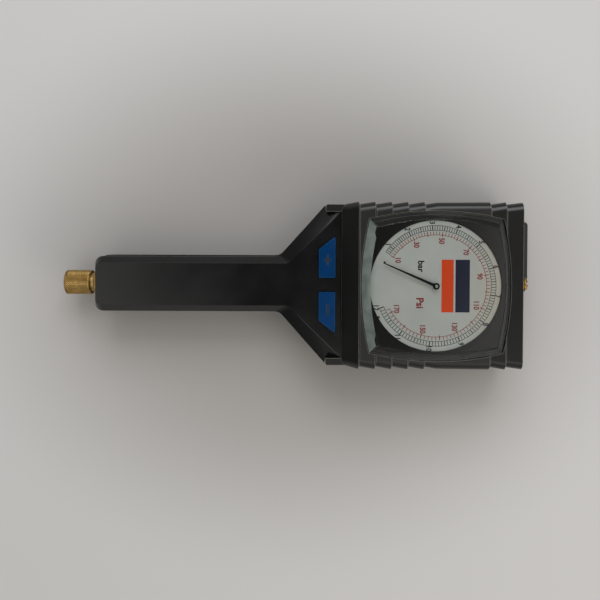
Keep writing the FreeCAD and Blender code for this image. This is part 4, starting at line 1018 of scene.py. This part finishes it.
class GAUGE_OT_carried(bpy.types.Operator):
    """Gives every solid that is kept as it is the finish of its real counterpart"""

    bl_idname = "gauge.carried"
    bl_label = "Carried-over pieces"

    def execute(self, context):
        wanted = {"black_plastic": "housing", "rubber": "rubber", "clear_lens": "clear",
                  "dial_white": "enamel", "pointer_black": "black_steel",
                  "blue_button": "button", "brass": "brass", "steel": "steel",
                  "aluminium": "aluminium"}
        slots = {entry["node"]: entry["material_slot"] for entry in frame["record"]["subparts"]}
        for node, piece in frame["nodes"].items():
            if piece.hide_render or node == "dial_plate":
                continue
            name = slots.get(node)
            piece.data.materials.clear()
            piece.data.materials.append(finish(wanted.get(name, "steel")))
        return {"FINISHED"}


class GAUGE_OT_stage(bpy.types.Operator):
    """Sets the floor, the light and the camera"""

    bl_idname = "gauge.stage"
    bl_label = "Stage"

    def execute(self, context):
        scene = context.scene
        stage = scene.gauge_stage
        colours = scene.gauge_colours
        base = min(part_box(node)[0].z for node in frame["nodes"])
        deselect()
        bpy.ops.mesh.primitive_plane_add(size=3, location=(0, 0, base - 0.00005))
        floor = newest("floor")
        settle(floor)
        floor.data.materials.append(floor_card(colours.floor_near, colours.floor_far))

        lamps = (
            ("ceiling", (0.0, 0.85, 0.85), (-0.05, 0.0, 0.0), (0.9, 0.6), 5.4, "#f8faff"),
            ("fill", (0.65, -0.6, 0.5), (0.0, 0.0, 0.03), (0.6, 0.4), 2.2, "#fff7ec"),
        )
        for name, place, aim, size, power, tint in lamps:
            bpy.ops.object.light_add(type="AREA", location=place)
            lamp = newest(name)
            lamp.data.shape = "RECTANGLE"
            lamp.data.size, lamp.data.size_y = size
            lamp.data.energy = power
            lamp.data.color = linear(tint)[:3]
            towards = Vector(aim) - Vector(place)
            lamp.rotation_euler = towards.to_track_quat("-Z", "Y").to_euler()

        world = scene.world or bpy.data.worlds.new("soft_room")
        scene.world = world
        world.use_nodes = True
        world.node_tree.nodes.clear()
        # A light ceiling, dim walls, and a dark place straight above where the camera hangs.
        tree = world.node_tree
        towards = add(tree, "ShaderNodeTexCoord").outputs["Generated"]
        parts = add(tree, "ShaderNodeSeparateXYZ", {0: towards})
        above = stops(add(tree, "ShaderNodeValToRGB", {"Fac": parts.outputs["Z"]}),
                      (0.0, grey(0.24)), (0.3, grey(0.35)), (0.65, grey(0.6)), (0.9, grey(1.1)),
                      (0.954, grey(1.2)), (0.966, grey(0.45)), (0.977, grey(0.1)), (1.0, grey(0.0)))
        across = add(tree, "ShaderNodeMath", {0: parts.outputs["X"], 1: 0.5, 2: 0.5},
                     operation="MULTIPLY_ADD")
        side = stops(add(tree, "ShaderNodeValToRGB", {"Fac": across.outputs[0]}),
                     (0.0, grey(0.35)), (0.24, grey(0.2)), (0.4, grey(1.0)), (0.6, grey(0.75)),
                     (1.0, grey(0.55)))
        shade = add(tree, "ShaderNodeMath", {0: above, 1: side}, operation="MULTIPLY")
        tone = add(tree, "ShaderNodeMix", {0: 1.0}, data_type="RGBA", blend_type="MULTIPLY")
        tree.links.new(shade.outputs[0], tone.inputs[7])
        tone.inputs[6].default_value = linear("#fffcf8")
        sky = add(tree, "ShaderNodeBackground", {"Color": tone.outputs[2], "Strength": stage.sky})
        add(tree, "ShaderNodeOutputWorld", {"Surface": sky.outputs[0]})

        bpy.ops.object.camera_add(location=stage.camera_place, rotation=stage.camera_turn)
        camera = newest("photo_camera")
        camera.data.lens = stage.focal
        camera.data.sensor_width = 36
        camera.data.shift_y = stage.framing
        camera.data.clip_start = 0.01
        scene.camera = camera
        scene.view_settings.view_transform = "Standard"
        return {"FINISHED"}


class GAUGE_PT_panel(bpy.types.Panel):
    """Lists the gauge's pieces, sizes and colours"""

    bl_label = "Tyre Pressure Gauge"
    bl_idname = "GAUGE_PT_panel"
    bl_space_type = "VIEW_3D"
    bl_region_type = "UI"
    bl_category = "Gauge"

    def draw(self, context):
        for group in (context.scene.gauge_sizes, context.scene.gauge_colours,
                      context.scene.gauge_stage):
            box = self.layout.box()
            for name in group.__annotations__:
                box.prop(group, name)
        for operator in PIECES:
            self.layout.operator(operator.bl_idname)


PIECES = (GAUGE_OT_housings, GAUGE_OT_boot, GAUGE_OT_cover, GAUGE_OT_dial, GAUGE_OT_pointer,
          GAUGE_OT_buttons, GAUGE_OT_coupling, GAUGE_OT_outlet, GAUGE_OT_hook, GAUGE_OT_carried,
          GAUGE_OT_stage)
GROUPS = (GaugeSizes, GaugeColours, GaugeStage)


def register():
    for item in GROUPS + PIECES + (GAUGE_PT_panel,):
        bpy.utils.register_class(item)
    bpy.types.Scene.gauge_sizes = bpy.props.PointerProperty(type=GaugeSizes)
    bpy.types.Scene.gauge_colours = bpy.props.PointerProperty(type=GaugeColours)
    bpy.types.Scene.gauge_stage = bpy.props.PointerProperty(type=GaugeStage)


def unregister():
    del bpy.types.Scene.gauge_stage
    del bpy.types.Scene.gauge_colours
    del bpy.types.Scene.gauge_sizes
    for item in reversed(GROUPS + PIECES + (GAUGE_PT_panel,)):
        bpy.utils.unregister_class(item)


def main():
    """Makes every piece in order."""
    register()
    deselect()
    for operator in PIECES:
        area, name = operator.bl_idname.split(".")
        getattr(getattr(bpy.ops, area), name)()


if __name__ == "__main__":
    main()
